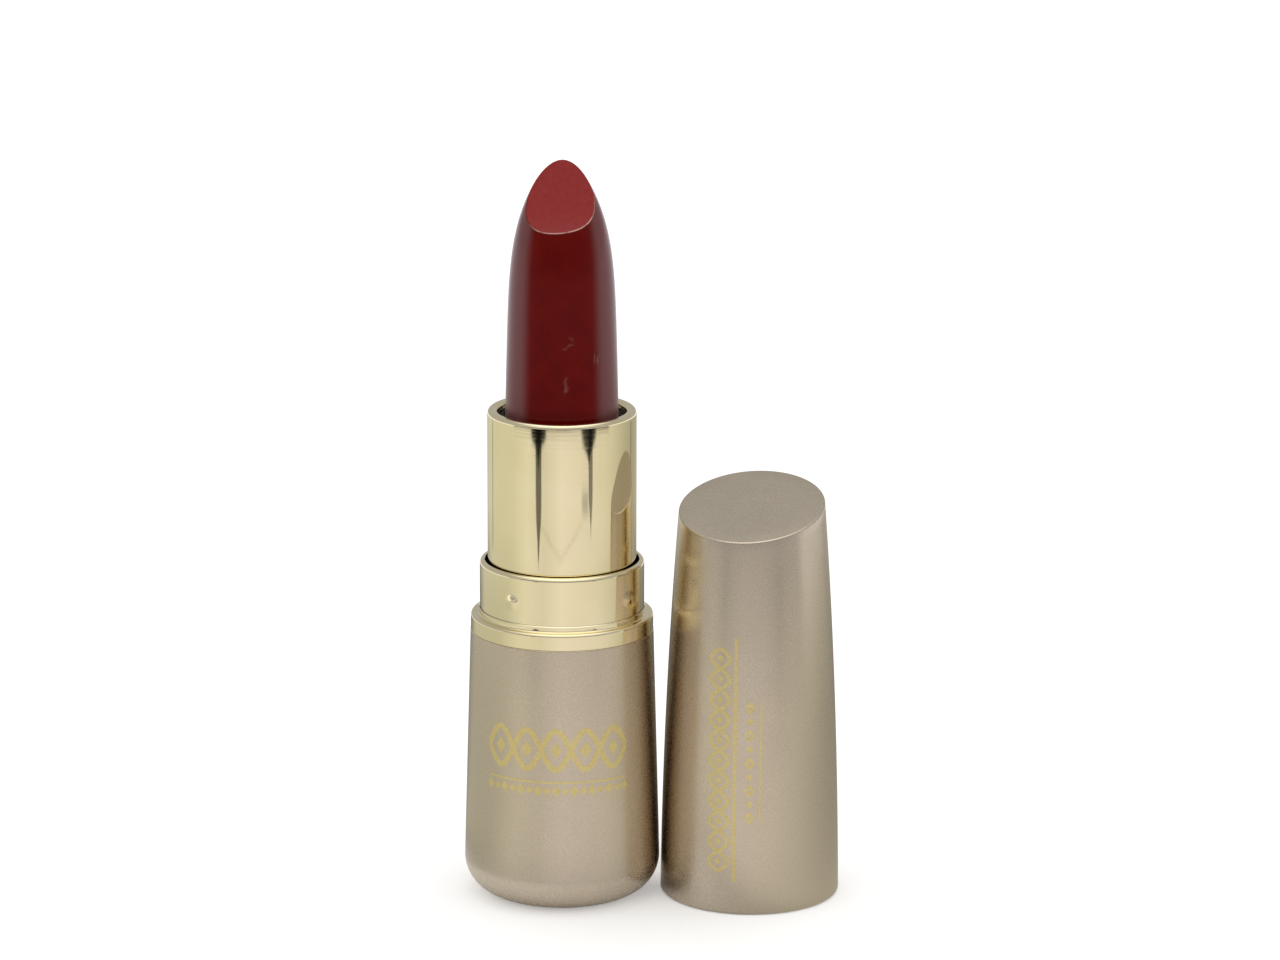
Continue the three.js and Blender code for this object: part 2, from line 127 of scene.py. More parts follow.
def straight(start, end, steps):
    """Points from start to end, without start, with a holding ring close to each end."""
    (r0, z0), (r1, z1) = start, end
    hold = min(HOLD / math.hypot(r1 - r0, z1 - z0), 0.5 / steps)
    shares = sorted([hold, 1 - hold, *(i / steps for i in range(1, steps + 1))])
    return [(r0 + (r1 - r0) * share, z0 + (z1 - z0) * share) for share in shares]


def lathe_mesh(name, outline, segments=SEGMENTS, closed=False, centre_x=0.0):
    """A mesh spun from one outline, or from a function of the direction in radians."""
    outline_at = outline if callable(outline) else lambda direction: outline
    directions = np.linspace(0, 2 * math.pi, segments, endpoint=False)
    rows = np.array([outline_at(a) for a in directions])
    count = rows.shape[1]
    places, row_of = [], np.zeros((segments, count), int)
    for i in range(count):
        on_axis = np.abs(rows[:, i, 0]).max() < 1e-6
        for j, a in enumerate(directions):
            if on_axis and j:
                row_of[j, i] = row_of[0, i]
                continue
            row_of[j, i] = len(places)
            r, z = rows[j, i]
            places.append((centre_x + r * math.cos(a), r * math.sin(a), z))
    faces = []
    for i in range(count if closed else count - 1):
        n = (i + 1) % count
        for j in range(segments):
            m = (j + 1) % segments
            corners = [row_of[j, i], row_of[m, i], row_of[m, n], row_of[j, n]]
            face = [int(v) for k, v in enumerate(corners) if v != corners[k - 1]]
            if len(face) > 2:
                faces.append(face)
    mesh = bpy.data.meshes.new(name)
    mesh.from_pydata([tuple(c * MM for c in p) for p in places], [], faces)
    mesh.update()
    return mesh


# %% Finish a piece
def finish_piece(name, mesh, material, body, replaces=(), sharp_degrees=40):
    """Smooths a mesh, gives it its finish and puts it on its body."""
    mesh.polygons.foreach_set("use_smooth", [True] * len(mesh.polygons))
    mesh.set_sharp_from_angle(angle=math.radians(sharp_degrees))
    mesh.materials.append(material)
    piece = bpy.data.objects.new(name, mesh)
    bpy.context.collection.objects.link(piece)
    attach(piece, body)
    if replaces:
        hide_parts(*replaces)
    print(name, len(mesh.polygons), "faces on", body)


# %% [markdown]
# ## Shared surface effects
#
# Three effects come back in many finishes. **Fine grain** is the speckle of metal flake or
# moulded plastic. **Soft mottle** is the slow change in polish from one place to another that
# keeps a surface from looking computed. **Hairlines** are the tiny scratches left by turning
# and handling. Each is a node group with its own inputs, built once and then placed in each
# material with values that suit it. The groups work on object coordinates, which stay fixed
# to a piece when it moves.

# %% Node group helpers
def new_group(name, inputs, outputs):
    """An empty shader group with float inputs (name: value) and outputs (name: socket type)."""
    group = bpy.data.node_groups.new(name, "ShaderNodeTree")
    for label, value in inputs.items():
        socket = group.interface.new_socket(name=label, in_out="INPUT", socket_type="NodeSocketFloat")
        socket.default_value = value
    for label, kind in outputs.items():
        group.interface.new_socket(name=label, in_out="OUTPUT", socket_type=kind)
    return group, group.nodes.new("NodeGroupInput"), group.nodes.new("NodeGroupOutput")


def node(tree, kind, links=(), **values):
    """Adds a node, sets its properties or inputs, and links its inputs to given sockets."""
    made = tree.nodes.new(kind)
    for key, value in values.items():
        if hasattr(made, key):
            setattr(made, key, value)
        else:
            made.inputs[key.replace("_", " ")].default_value = value
    for target, source in dict(links).items():
        tree.links.new(source, made.inputs[target])
    return made


def math_node(tree, operation, a, b):
    """A Math node whose two inputs are sockets or numbers."""
    made = tree.nodes.new("ShaderNodeMath")
    made.operation = operation
    for socket, value in zip(made.inputs, (a, b)):
        if isinstance(value, (int, float)):
            socket.default_value = value
        else:
            tree.links.new(value, socket)
    return made.outputs[0]


# %% Fine grain and soft mottle
VALUE_AND_HEIGHT = {"Value": "NodeSocketFloat", "Height": "NodeSocketFloat"}


def put_out_noise(group, given, result, noise, low, high):
    """Puts out a noise as a height, and as a value spread between the group's Low and High."""
    spread = node(group, "ShaderNodeMapRange",
                  {"Value": noise.outputs["Fac"], "To Min": given.outputs["Low"],
                   "To Max": given.outputs["High"]})
    spread.inputs["From Min"].default_value = low
    spread.inputs["From Max"].default_value = high
    group.links.new(spread.outputs["Result"], result.inputs["Value"])
    group.links.new(noise.outputs["Fac"], result.inputs["Height"])


def make_noise_group(name, scale, detail, roughness):
    """A shared noise that is the same in every direction."""
    group, given, result = new_group(name, {"Scale": scale, "Low": 0.0, "High": 1.0}, VALUE_AND_HEIGHT)
    place = node(group, "ShaderNodeTexCoord")
    noise = node(group, "ShaderNodeTexNoise",
                 {"Vector": place.outputs["Object"], "Scale": given.outputs["Scale"]},
                 Detail=detail, Roughness=roughness)
    put_out_noise(group, given, result, noise, 0.3, 0.7)
    return group


grain_group = make_noise_group("fine grain", 6000.0, detail=3.0, roughness=0.7)
mottle_group = make_noise_group("soft mottle", 120.0, detail=1.5, roughness=0.5)
print(grain_group.name, "and", mottle_group.name, "are ready")


# %% Hairlines
def make_hairline_group():
    """Noise that is drawn out round the axis, as the marks of turning are."""
    group, given, result = new_group(
        "hairlines", {"Around": 60.0, "Along": 3000.0, "Low": 0.0, "High": 1.0}, VALUE_AND_HEIGHT,
    )
    place = node(group, "ShaderNodeTexCoord")
    stretch = node(group, "ShaderNodeCombineXYZ",
                   {"X": given.outputs["Around"], "Y": given.outputs["Around"],
                    "Z": given.outputs["Along"]})
    squeezed = node(group, "ShaderNodeVectorMath",
                    {0: place.outputs["Object"], 1: stretch.outputs["Vector"]},
                    operation="MULTIPLY")
    noise = node(group, "ShaderNodeTexNoise", {"Vector": squeezed.outputs["Vector"]},
                 Scale=1.0, Detail=4.0, Roughness=0.65)
    put_out_noise(group, given, result, noise, 0.35, 0.65)
    return group


hairline_group = make_hairline_group()


# %% Material helpers
def smooth_step(tree, value, low, high, start=0.0, end=1.0):
    """A value that moves smoothly from start to end as the input goes from low to high."""
    step = node(tree, "ShaderNodeMapRange", {"Value": value}, interpolation_type="SMOOTHSTEP")
    for label, number in (("From Min", low), ("From Max", high), ("To Min", start), ("To Max", end)):
        step.inputs[label].default_value = number
    return step.outputs["Result"]


def new_material(name, **values):
    """A material with one Principled BSDF, and the values that are the same all over it."""
    material = bpy.data.materials.new(name)
    material.use_nodes = True
    tree = material.node_tree
    shader = tree.nodes["Principled BSDF"]
    for key, value in values.items():
        shader.inputs[key.replace("_", " ")].default_value = value
    return material, tree, shader


def place_group(tree, group, **values):
    """Places a shared group in a material with its own values."""
    made = tree.nodes.new("ShaderNodeGroup")
    made.node_tree = group
    for key, value in values.items():
        made.inputs[key].default_value = value
    return made


def colour_between(tree, mask, dark, light):
    """A colour that goes from dark to light with a mask."""
    mix = node(tree, "ShaderNodeMix", data_type="RGBA")
    mix.inputs["A"].default_value = (*dark, 1)
    mix.inputs["B"].default_value = (*light, 1)
    tree.links.new(mask, mix.inputs["Factor"])
    return mix.outputs["Result"]


def blend_colours(tree, mask, first, second):
    """Goes from one linked colour to another with a mask."""
    mix = node(tree, "ShaderNodeMix", {"Factor": mask}, data_type="RGBA")
    tree.links.new(first, mix.inputs["A"])
    tree.links.new(second, mix.inputs["B"])
    return mix.outputs["Result"]


def bump(tree, shader, height, strength, distance):
    """Feeds a height through a Bump node into the shader's normal."""
    made = node(tree, "ShaderNodeBump", {"Height": height}, Strength=strength, Distance=distance)
    tree.links.new(made.outputs["Normal"], shader.inputs["Normal"])


# %% [markdown]
# ## Champagne lacquer
#
# The cap and the base are metal shells sprayed with a satin metallic lacquer. Fine aluminium
# flake floats in it, so close up the surface has a soft sparkle, and from further off broad
# highlights without a sharp edge. It behaves as a rough metal. The grain changes both its
# colour and its roughness a little, at the size of real flake, about a tenth of a millimetre.

# %% Champagne lacquer
def make_champagne():
    material, tree, shader = new_material("champagne_lacquer", Metallic=1.0, IOR=1.5)
    grain = place_group(tree, grain_group, Scale=5200.0, Low=0.0, High=1.0)
    mottle = place_group(tree, mottle_group, Scale=260.0, Low=-0.02, High=0.02)
    dark, light = (0.640, 0.551, 0.435), (0.692, 0.598, 0.475)
    tree.links.new(colour_between(tree, grain.outputs["Value"], dark, light), shader.inputs["Base Color"])
    rough = place_group(tree, grain_group, Scale=3600.0, Low=0.24, High=0.33)
    tree.links.new(math_node(tree, "ADD", rough.outputs["Value"], mottle.outputs["Value"]),
                   shader.inputs["Roughness"])
    bump(tree, shader, grain.outputs["Height"], 0.10, 0.00002)
    return material


champagne = make_champagne()

# %% [markdown]
# ## Gold plate
#
# The collar, its ring and the tube are polished metal with a pale gold coating. Polished metal
# has almost no look of its own: it shows the room. What gives it away as a real drawn part is
# that its surface isn't perfectly true, so straight reflections waver. That is a very low,
# slow bump, with faint hairlines round the axis on top.

# %% Gold plate
def make_gold():
    material, tree, shader = new_material("gold_plate", Metallic=1.0)
    mottle = place_group(tree, mottle_group, Scale=170.0, Low=0.0, High=1.0)
    dark, light = (0.920, 0.808, 0.520), (0.965, 0.862, 0.590)
    tree.links.new(colour_between(tree, mottle.outputs["Value"], dark, light), shader.inputs["Base Color"])
    hairs = place_group(tree, hairline_group, Around=90.0, Along=5200.0, Low=0.03, High=0.065)
    tree.links.new(hairs.outputs["Value"], shader.inputs["Roughness"])
    bump(tree, shader, mottle.outputs["Height"], 0.3, 0.00005)
    return material


gold = make_gold()

# %% [markdown]
# ## Gold foil
#
# The decoration is hot-stamped foil: a film about as thin as paper, matter than the plated
# parts and yellower than the lacquer.

# %% Gold foil
def make_foil():
    material, tree, shader = new_material("gold_foil", Metallic=0.85)
    grain = place_group(tree, grain_group, Scale=4200.0, Low=0.0, High=1.0)
    dark, light = (0.700, 0.560, 0.235), (0.830, 0.690, 0.330)
    tree.links.new(colour_between(tree, grain.outputs["Value"], dark, light), shader.inputs["Base Color"])
    rough = place_group(tree, grain_group, Scale=2600.0, Low=0.30, High=0.42)
    tree.links.new(rough.outputs["Value"], shader.inputs["Roughness"])
    return material


foil = make_foil()

# %% [markdown]
# ## Wax
#
# Lipstick wax is a deep, slightly see-through colour under a satin skin. Straight on it is
# almost black-red. Where the surface turns away, a paler colour is mixed in by how far the
# surface faces from the eye: a painted sheen, with a little of the shader's own sheen on top.
#
# The flat facet is rubbed a little more than the sides, so it is duller and pinker. Two
# numbers stored in the mesh say where: "facet" is 1 on the facet, and the other is where the
# wax is pale: the broken lips of the nicks, and a painted highlight along the facet's front edge.

# %% Wax
# A painted sheen: the paler colour the wax takes on where it turns away from the eye.
PAINTED_SHEEN_COLOUR = (0.145, 0.052, 0.052, 1)
PAINTED_SHEEN_MOST = 0.9             # share of the painted sheen at the very edge
# Pale wax on the lips of the nicks, and a painted highlight along the facet's front edge.
PALE_LIP_AND_HIGHLIGHT_COLOUR = (0.80, 0.50, 0.42, 1)
FACET_RUBBED = 0.2          # how much rougher the facet is


def stored(tree, name):
    """A number stored in the mesh."""
    return node(tree, "ShaderNodeAttribute", attribute_name=name, attribute_type="GEOMETRY").outputs["Fac"]


def flat_colour(tree, colour):
    made = node(tree, "ShaderNodeRGB")
    made.outputs[0].default_value = colour
    return made.outputs[0]


def make_wax():
    material, tree, shader = new_material(
        "wax", IOR=1.33, Specular_IOR_Level=0.20, Sheen_Weight=0.20, Sheen_Roughness=0.35,
        Subsurface_Weight=0.04, Subsurface_Scale=0.0005,
    )
    shader.inputs["Subsurface Radius"].default_value = (1.0, 0.2, 0.15)
    mottle = place_group(tree, mottle_group, Scale=420.0, Low=0.0, High=1.0)
    dark, light = (0.096, 0.0012, 0.0003), (0.118, 0.0022, 0.0006)
    deep = colour_between(tree, mottle.outputs["Value"], dark, light)
    # Painted sheen, mixed in by how far the surface faces from the eye.
    facing = node(tree, "ShaderNodeLayerWeight", Blend=0.5)
    painted_sheen_share = smooth_step(tree, facing.outputs["Facing"], 0.17, 0.36, 0.0, PAINTED_SHEEN_MOST)
    side_with_painted_sheen = blend_colours(tree, painted_sheen_share, deep, flat_colour(tree, PAINTED_SHEEN_COLOUR))
    dust = place_group(tree, grain_group, Scale=2200.0, Low=0.0, High=1.0)
    dark, light = (0.245, 0.0235, 0.0225), (0.290, 0.0320, 0.0305)
    cut = colour_between(tree, dust.outputs["Value"], dark, light)
    facet = stored(tree, "facet")
    patchiness = place_group(tree, mottle_group, Scale=1100.0, Low=0.35, High=1.0)
    red = blend_colours(tree, facet, side_with_painted_sheen, cut)
    # Pale lips of the nicks, and the painted highlight along the facet's front edge.
    edge = math_node(tree, "MULTIPLY", stored(tree, "pale_lips_and_painted_highlight"), patchiness.outputs["Value"])
    tree.links.new(blend_colours(tree, edge, red, flat_colour(tree, PALE_LIP_AND_HIGHLIGHT_COLOUR)), shader.inputs["Base Color"])
    rough = place_group(tree, grain_group, Scale=1500.0, Low=0.16, High=0.21)
    rubbed = math_node(tree, "MULTIPLY", facet, FACET_RUBBED)
    tree.links.new(math_node(tree, "ADD", rough.outputs["Value"], rubbed), shader.inputs["Roughness"])
    fine = place_group(tree, mottle_group, Scale=900.0)
    bump(tree, shader, fine.outputs["Height"], 0.25, 0.00002)
    return material


wax = make_wax()

# %% [markdown]
# ## Plastics, steel, silicone and label film
#
# The pieces inside matter too: the case is looked at with its cap off, from above and below.
# Moulded plastic has a slightly uneven skin, turned steel has rings, and the label is a satin
# film.

# %% Plain finishes
def make_plastic(name, dark, light, low, high):
    material, tree, shader = new_material(name, Specular_IOR_Level=0.45)
    mottle = place_group(tree, mottle_group, Scale=600.0, Low=0.0, High=1.0)
    tree.links.new(colour_between(tree, mottle.outputs["Value"], dark, light), shader.inputs["Base Color"])
    rough = place_group(tree, grain_group, Scale=3000.0, Low=low, High=high)
    tree.links.new(rough.outputs["Value"], shader.inputs["Roughness"])
    fine = place_group(tree, grain_group, Scale=2600.0)
    bump(tree, shader, fine.outputs["Height"], 0.15, 0.00003)
    return material


def make_steel():
    material, tree, shader = new_material("steel", Metallic=1.0)
    mottle = place_group(tree, mottle_group, Scale=300.0, Low=0.0, High=1.0)
    tree.links.new(colour_between(tree, mottle.outputs["Value"], (0.46, 0.46, 0.47), (0.58, 0.58, 0.58)),
                   shader.inputs["Base Color"])
    hairs = place_group(tree, hairline_group, Around=120.0, Along=9000.0, Low=0.28, High=0.5)
    tree.links.new(hairs.outputs["Value"], shader.inputs["Roughness"])
    bump(tree, shader, hairs.outputs["Height"], 0.3, 0.00002)
    return material


dark_plastic = make_plastic("dark_plastic", (0.012, 0.010, 0.010), (0.020, 0.017, 0.016), 0.34, 0.5)
pale_plastic = make_plastic("pale_plastic", (0.60, 0.55, 0.48), (0.68, 0.63, 0.56), 0.4, 0.55)
silicone = make_plastic("silicone", (0.045, 0.042, 0.040), (0.060, 0.056, 0.052), 0.6, 0.75)
label_film = make_plastic("label_film", (0.74, 0.69, 0.61), (0.78, 0.73, 0.66), 0.45, 0.6)
steel = make_steel()

# %% [markdown]
# ## Base shell
#
# The shell is one deep-drawn cup: a slightly tapered wall, a large rounded foot, and a flat
# underneath with a recess for the label. The top edge gets a tiny round of its own, because a
# perfectly sharp edge never catches light and reads as a drawing.

# %% Base shell
SHELL_WALL = 0.6
SHELL_STEP = 0.04
FOOT_ROUND = 4.0
BOTTOM_WALL = 1.2
LABEL_GAP = 0.2
SHELL_EDGE = 0.08           # round of the shell's fine edges

foot_radius = half_width("base_shell")
base_height = top("base_shell")
ring_radius = half_width("trim_ring")
shell_top_radius = ring_radius + SHELL_STEP
label_radius = half_width("shade_label")
label_thickness = top("shade_label")


def base_radius(z):
    """Outside radius of the base shell above its rounded foot."""
    return foot_radius - (foot_radius - shell_top_radius) * (z - FOOT_ROUND) / (base_height - FOOT_ROUND)


def base_outline():
    edge = SHELL_EDGE
    flat = foot_radius - FOOT_ROUND
    recess = label_radius + LABEL_GAP
    return [
        (0, label_thickness),
        *straight((0, label_thickness), (recess, label_thickness), 4),
        *arc(recess + edge, edge, edge, 180, 270, 3),
        *arc(flat, FOOT_ROUND, FOOT_ROUND, -90, 0, 24),
        *straight((foot_radius, FOOT_ROUND), (shell_top_radius, base_height - edge), 24),
        *arc(shell_top_radius - edge, base_height - edge, edge, 0, 90, 4)[1:],
        (shell_top_radius - SHELL_WALL, base_height),
        *straight((shell_top_radius - SHELL_WALL, base_height), (foot_radius - SHELL_WALL, FOOT_ROUND), 8),
        *arc(flat, FOOT_ROUND, FOOT_ROUND - SHELL_WALL, 0, -55, 6)[1:],
        (0, BOTTOM_WALL),
    ]


finish_piece("base_shell_fine", lathe_mesh("base_shell_fine", base_outline()),
             champagne, "base", ["base_shell"])

# %% [markdown]
# ## Trim ring and collar
#
# A gold ring covers the shell's top edge, and a collar stands up from it for the cap to grip.
# Between them runs a small hollow, where light gathers in two thin lines. The collar has four
# pips pressed outwards. They are made by moving the collar's own vertices, so that their
# feet run smoothly into the wall as pressed metal does.

# %% Trim ring
COLLAR_WALL = 0.55
FIT_GAP = 0.05
RING_HEIGHT = 1.8
RING_BEVEL = 0.06           # at the ring's foot
RING_ROUND = 0.28           # at its outer top edge
STEP_WIDTH = 0.08           # a low step against the collar, with a slanted top
STEP_ROUND = 0.14           # where the step rises from the seat

collar_radius = half_width("collar")
seat_z = base_height + RING_HEIGHT


def ring_outline():
    inner = collar_radius + FIT_GAP
    step, step_top = inner + STEP_WIDTH, top("trim_ring")
    return [
        (inner, base_height),
        (ring_radius - RING_BEVEL, base_height),
        (ring_radius, base_height + RING_BEVEL),
        *straight((ring_radius, base_height + RING_BEVEL), (ring_radius, seat_z - RING_ROUND), 6),
        *arc(ring_radius - RING_ROUND, seat_z - RING_ROUND, RING_ROUND, 0, 90, 8)[1:],
        *straight((ring_radius - RING_ROUND, seat_z), (step + STEP_ROUND, seat_z), 4),
        *arc(step + STEP_ROUND, seat_z + STEP_ROUND, STEP_ROUND, 270, 180, 6)[1:],
        (step, step_top - STEP_WIDTH),
        (inner, step_top),
    ]


finish_piece("trim_ring_fine", lathe_mesh("trim_ring_fine", ring_outline(), closed=True),
             gold, "base", ["trim_ring"])

# %% Collar with pressed pips
PIP_COUNT = 4
PIP_START = math.radians(53.75)
PIP_RISE = 0.13
PIP_FOOT = 1.0              # how far a pip's foot reaches from its middle
PIP_Z = 2.8                 # above the ring's seat
COLLAR_ROUND = 0.4
COLLAR_BEVEL = 0.05


def collar_outline():
    low, high = bottom("collar"), top("collar")
    inner = collar_radius - COLLAR_WALL
    pip_low, pip_high = seat_z + PIP_Z - PIP_FOOT, seat_z + PIP_Z + PIP_FOOT
    return [
        (inner, low),
        (collar_radius, low),
        *straight((collar_radius, low), (collar_radius, pip_low), 8),
        *straight((collar_radius, pip_low), (collar_radius, pip_high), 24),
        *straight((collar_radius, pip_high), (collar_radius, high - COLLAR_ROUND), 4),
        *arc(collar_radius - COLLAR_ROUND, high - COLLAR_ROUND, COLLAR_ROUND, 0, 90, 8)[1:],
        (inner + COLLAR_BEVEL, high),
        (inner, high - COLLAR_BEVEL),
        *straight((inner, high - COLLAR_BEVEL), (inner, low), 6)[:-1],
    ]


def press_pips(mesh):
    """Raises the collar's wall in a soft dome at each pip."""
    for vertex in mesh.vertices:
        x, y, z = (c / MM for c in vertex.co)
        if math.hypot(x, y) < collar_radius - COLLAR_BEVEL:
            continue
        around = math.atan2(y, x)
        for k in range(PIP_COUNT):
            turn = around - PIP_START - 2 * math.pi * k / PIP_COUNT
            turn = (turn + math.pi) % (2 * math.pi) - math.pi
            distance = math.hypot(turn * collar_radius, z - seat_z - PIP_Z) / PIP_FOOT
            if distance < 1:
                rise = PIP_RISE * (1 - distance ** 2) ** 2
                vertex.co += Vector((math.cos(around), math.sin(around), 0)) * rise * MM
    mesh.update()


collar_mesh = lathe_mesh("collar_fine", collar_outline(), segments=480, closed=True)
press_pips(collar_mesh)
finish_piece("collar_fine", collar_mesh, gold, "base", ["collar"])

# %% [markdown]
# ## Gold tube
#
# The tube's rim is rolled inwards over the mechanism, which makes it look much thicker than
# the metal is. The roll is equally round outside and inside, with a much finer edge underneath.

# %% Gold tube
TUBE_WALL = 0.5
RIM_LIP = 1.13
RIM_THICKNESS = 0.8
RIM_ROUND = 0.42
RIM_UNDER_ROUND = 0.12
TUBE_BEVEL = 0.05

tube_radius = half_width("outer_tube")
rim_z = top("outer_tube")


def tube_outline():
    low = bottom("outer_tube")
    lip = tube_radius - RIM_LIP
    inner = tube_radius - TUBE_WALL
    under = rim_z - RIM_THICKNESS
    return [
        (inner, low),
        (tube_radius - TUBE_BEVEL, low),
        (tube_radius, low + TUBE_BEVEL),
        *straight((tube_radius, low + TUBE_BEVEL), (tube_radius, rim_z - RIM_ROUND), 20),
        *arc(tube_radius - RIM_ROUND, rim_z - RIM_ROUND, RIM_ROUND, 0, 90, 12)[1:],
        *arc(lip + RIM_ROUND, rim_z - RIM_ROUND, RIM_ROUND, 90, 180, 8),
        *arc(lip + RIM_UNDER_ROUND, under + RIM_UNDER_ROUND, RIM_UNDER_ROUND, 180, 270, 4),
        (inner, under),
        *straight((inner, under), (inner, low), 8)[:-1],
    ]


finish_piece("outer_tube_fine", lathe_mesh("outer_tube_fine", tube_outline(), closed=True),
             gold, "tube", ["outer_tube"])

# %% [markdown]
# ## Wax bullet
#
# The wax is cast in a mould as a turned stick that draws in to a nose, with one facet that is
# scooped: steep at the tip and nearly level at its front edge. In any direction from the axis
# the outline climbs the nose until it meets the facet, turns over a small round edge and
# follows the scoop to the axis. That one outline function gives a clean edge all the way
# round, without a boolean cut and its long thin triangles.

# %% Nose and facet
NOSE_POWER = 5.6
NOSE_POINT = 1.25
NOSE_TAPER = 0.67
FACET_DROP = 4.53
FACET_SLOPE = Vector((0.088, 1.52))
FACET_SCOOP = 0.128
FACET_EDGE = 0.13
TIP_TRIM = 2.09
TRAVEL = 28.0
TIP_COVER = 1.2

bullet_radius = half_width("bullet")
bullet_low = bottom("bullet")
apex_z = rim_z + TRAVEL - TIP_COVER + TIP_TRIM
nose_height = apex_z - rim_z


def nose_point(u):
    """Radius and height at the share u of the height from the rim to the uncut apex."""
    return (bullet_radius - NOSE_TAPER * u) * (1 - u ** NOSE_POWER) ** NOSE_POINT, rim_z + nose_height * u


def facet_height(direction, r):
    x, y = r * math.cos(direction), r * math.sin(direction)
    return apex_z - FACET_DROP + FACET_SLOPE.x * x + FACET_SLOPE.y * y + FACET_SCOOP * y * y


def facet_share(direction):
    """The share of the nose's height where it meets the facet, by bisection."""
    low, high = 0.0, 1.0
    for _ in range(40):
        middle = (low + high) / 2
        r, z = nose_point(middle)
        low, high = (middle, high) if z < facet_height(direction, r) else (low, middle)
    return low


def rounded_corner(before, corner, after, steps=6):
    """A smooth turn at a corner, from a point before it to one after."""
    points = []
    for i in range(steps + 1):
        t = i / steps
        points.append(tuple((1 - t) ** 2 * a + 2 * t * (1 - t) * b + t * t * c
                            for a, b, c in zip(before, corner, after)))
    return points


# %% Wax outline
BULLET_SEGMENTS = 360
NOSE_ROWS = 150
FACET_ROWS = 24
WAX_BEVEL = 0.1


def bullet_outline(direction):
    """Up the side and the nose, over the facet's edge and along the facet to the axis."""
    share = facet_share(direction)
    r, z = nose_point(share)
    near = share - FACET_EDGE / nose_height
    inner = r - FACET_EDGE
    climb = [nose_point(near * math.sin(math.pi / 2 * i / NOSE_ROWS) ** 0.8) for i in range(NOSE_ROWS + 1)]
    after = (inner, facet_height(direction, inner))
    scoop = [(inner * (1 - i / FACET_ROWS), facet_height(direction, inner * (1 - i / FACET_ROWS)))
             for i in range(1, FACET_ROWS)]
    return [
        (0, bullet_low),
        (bullet_radius - WAX_BEVEL, bullet_low),
        (bullet_radius, bullet_low + WAX_BEVEL),
        *straight((bullet_radius, bullet_low + WAX_BEVEL), (bullet_radius, rim_z), 6)[:-1],
        *climb[:-1],
        *rounded_corner(climb[-1], (r, z), after),
        *scoop,
        (0, facet_height(direction, 0)),
    ]


# %% [markdown]
# A thin pale line along the facet's front edge is a painted highlight, and the facet itself
# has a dusty bloom, which near the tip spreads a little past its edge. Both are numbers stored
# in the mesh, which the wax's material reads.
#
# The wax has been touched: it carries three tiny nicks in front, made of five short scratches,
# each with a slightly paler lip pushed up beside it. They are pressed into the vertices, so
# the mesh has to be fine enough there to hold a mark a tenth of a millimetre wide.

# %% Nicks in the wax
NICK_PALE = 0.13
NICK_REACH = 1.5            # nothing further off than this is moved
NICK_WOBBLE = (0.12, 5)     # how far a scratch wavers, and how quickly
LIP_SHARE = 0.6             # height of the lip, as a share of the depth
NICKS = [                   # degrees from the front, height, half length, half width, lean, depth
    (6, 61.9, 0.62, 0.10, 1.2, 0.07),
    (9, 62.5, 0.30, 0.09, -0.5, 0.06),
    (38, 60.2, 0.45, 0.10, 0.5, 0.06),
    (2, 57.7, 0.75, 0.13, 0.1, 0.08),
    (5, 57.2, 0.35, 0.10, 1.4, 0.05),
]


def press_nicks(mesh):
    """Presses short scratches into the wax, and returns how pale the lip beside each has gone."""
    pale = [0.0] * len(mesh.vertices)
    for vertex in mesh.vertices:
        x, y, z = (c / MM for c in vertex.co)
        r = math.hypot(x, y)
        for angle, height, half_length, spread, lean, depth in NICKS:
            along = r * (math.atan2(y, x) + math.pi / 2 - math.radians(angle))
            if abs(along) > NICK_REACH or abs(z - height) > NICK_REACH or r < 1:
                continue
            u = along * math.sin(lean) + (z - height) * math.cos(lean)
            v = along * math.cos(lean) - (z - height) * math.sin(lean)
            v += NICK_WOBBLE[0] * math.sin(NICK_WOBBLE[1] * u)
            groove = math.exp(-(v / spread) ** 2)
            lip = math.exp(-((v - 2 * spread) / spread) ** 2)
            fade = math.exp(-(u / half_length) ** 4)
            out = Vector((x / r, y / r, 0))
            vertex.co += out * (LIP_SHARE * lip - groove) * depth * fade * MM
            pale[vertex.index] = max(pale[vertex.index], NICK_PALE * lip * fade)
    mesh.update()
    return pale


# %% Bloom and painted highlight
BLOOM_FOOT = 76.1           # above this height the bloom spreads past the facet's edge
BLOOM_FADE = 1.0
BLOOM_REACH = 1.2
PAINTED_HIGHLIGHT_WIDTH = 0.1
PAINTED_HIGHLIGHT_RISE = 2.0             # millimetres to the front over which the painted highlight comes in
PAINTED_HIGHLIGHT_LATE = 0.9
PAINTED_HIGHLIGHT_LEAN = 0.15            # more of it on the right
facet_low = rim_z + 10      # the facet lies well above this


def store(mesh, name, values):
    """Stores one number for each vertex, for a material to read."""
    mesh.attributes.new(name, "FLOAT", "POINT").data.foreach_set("value", values)


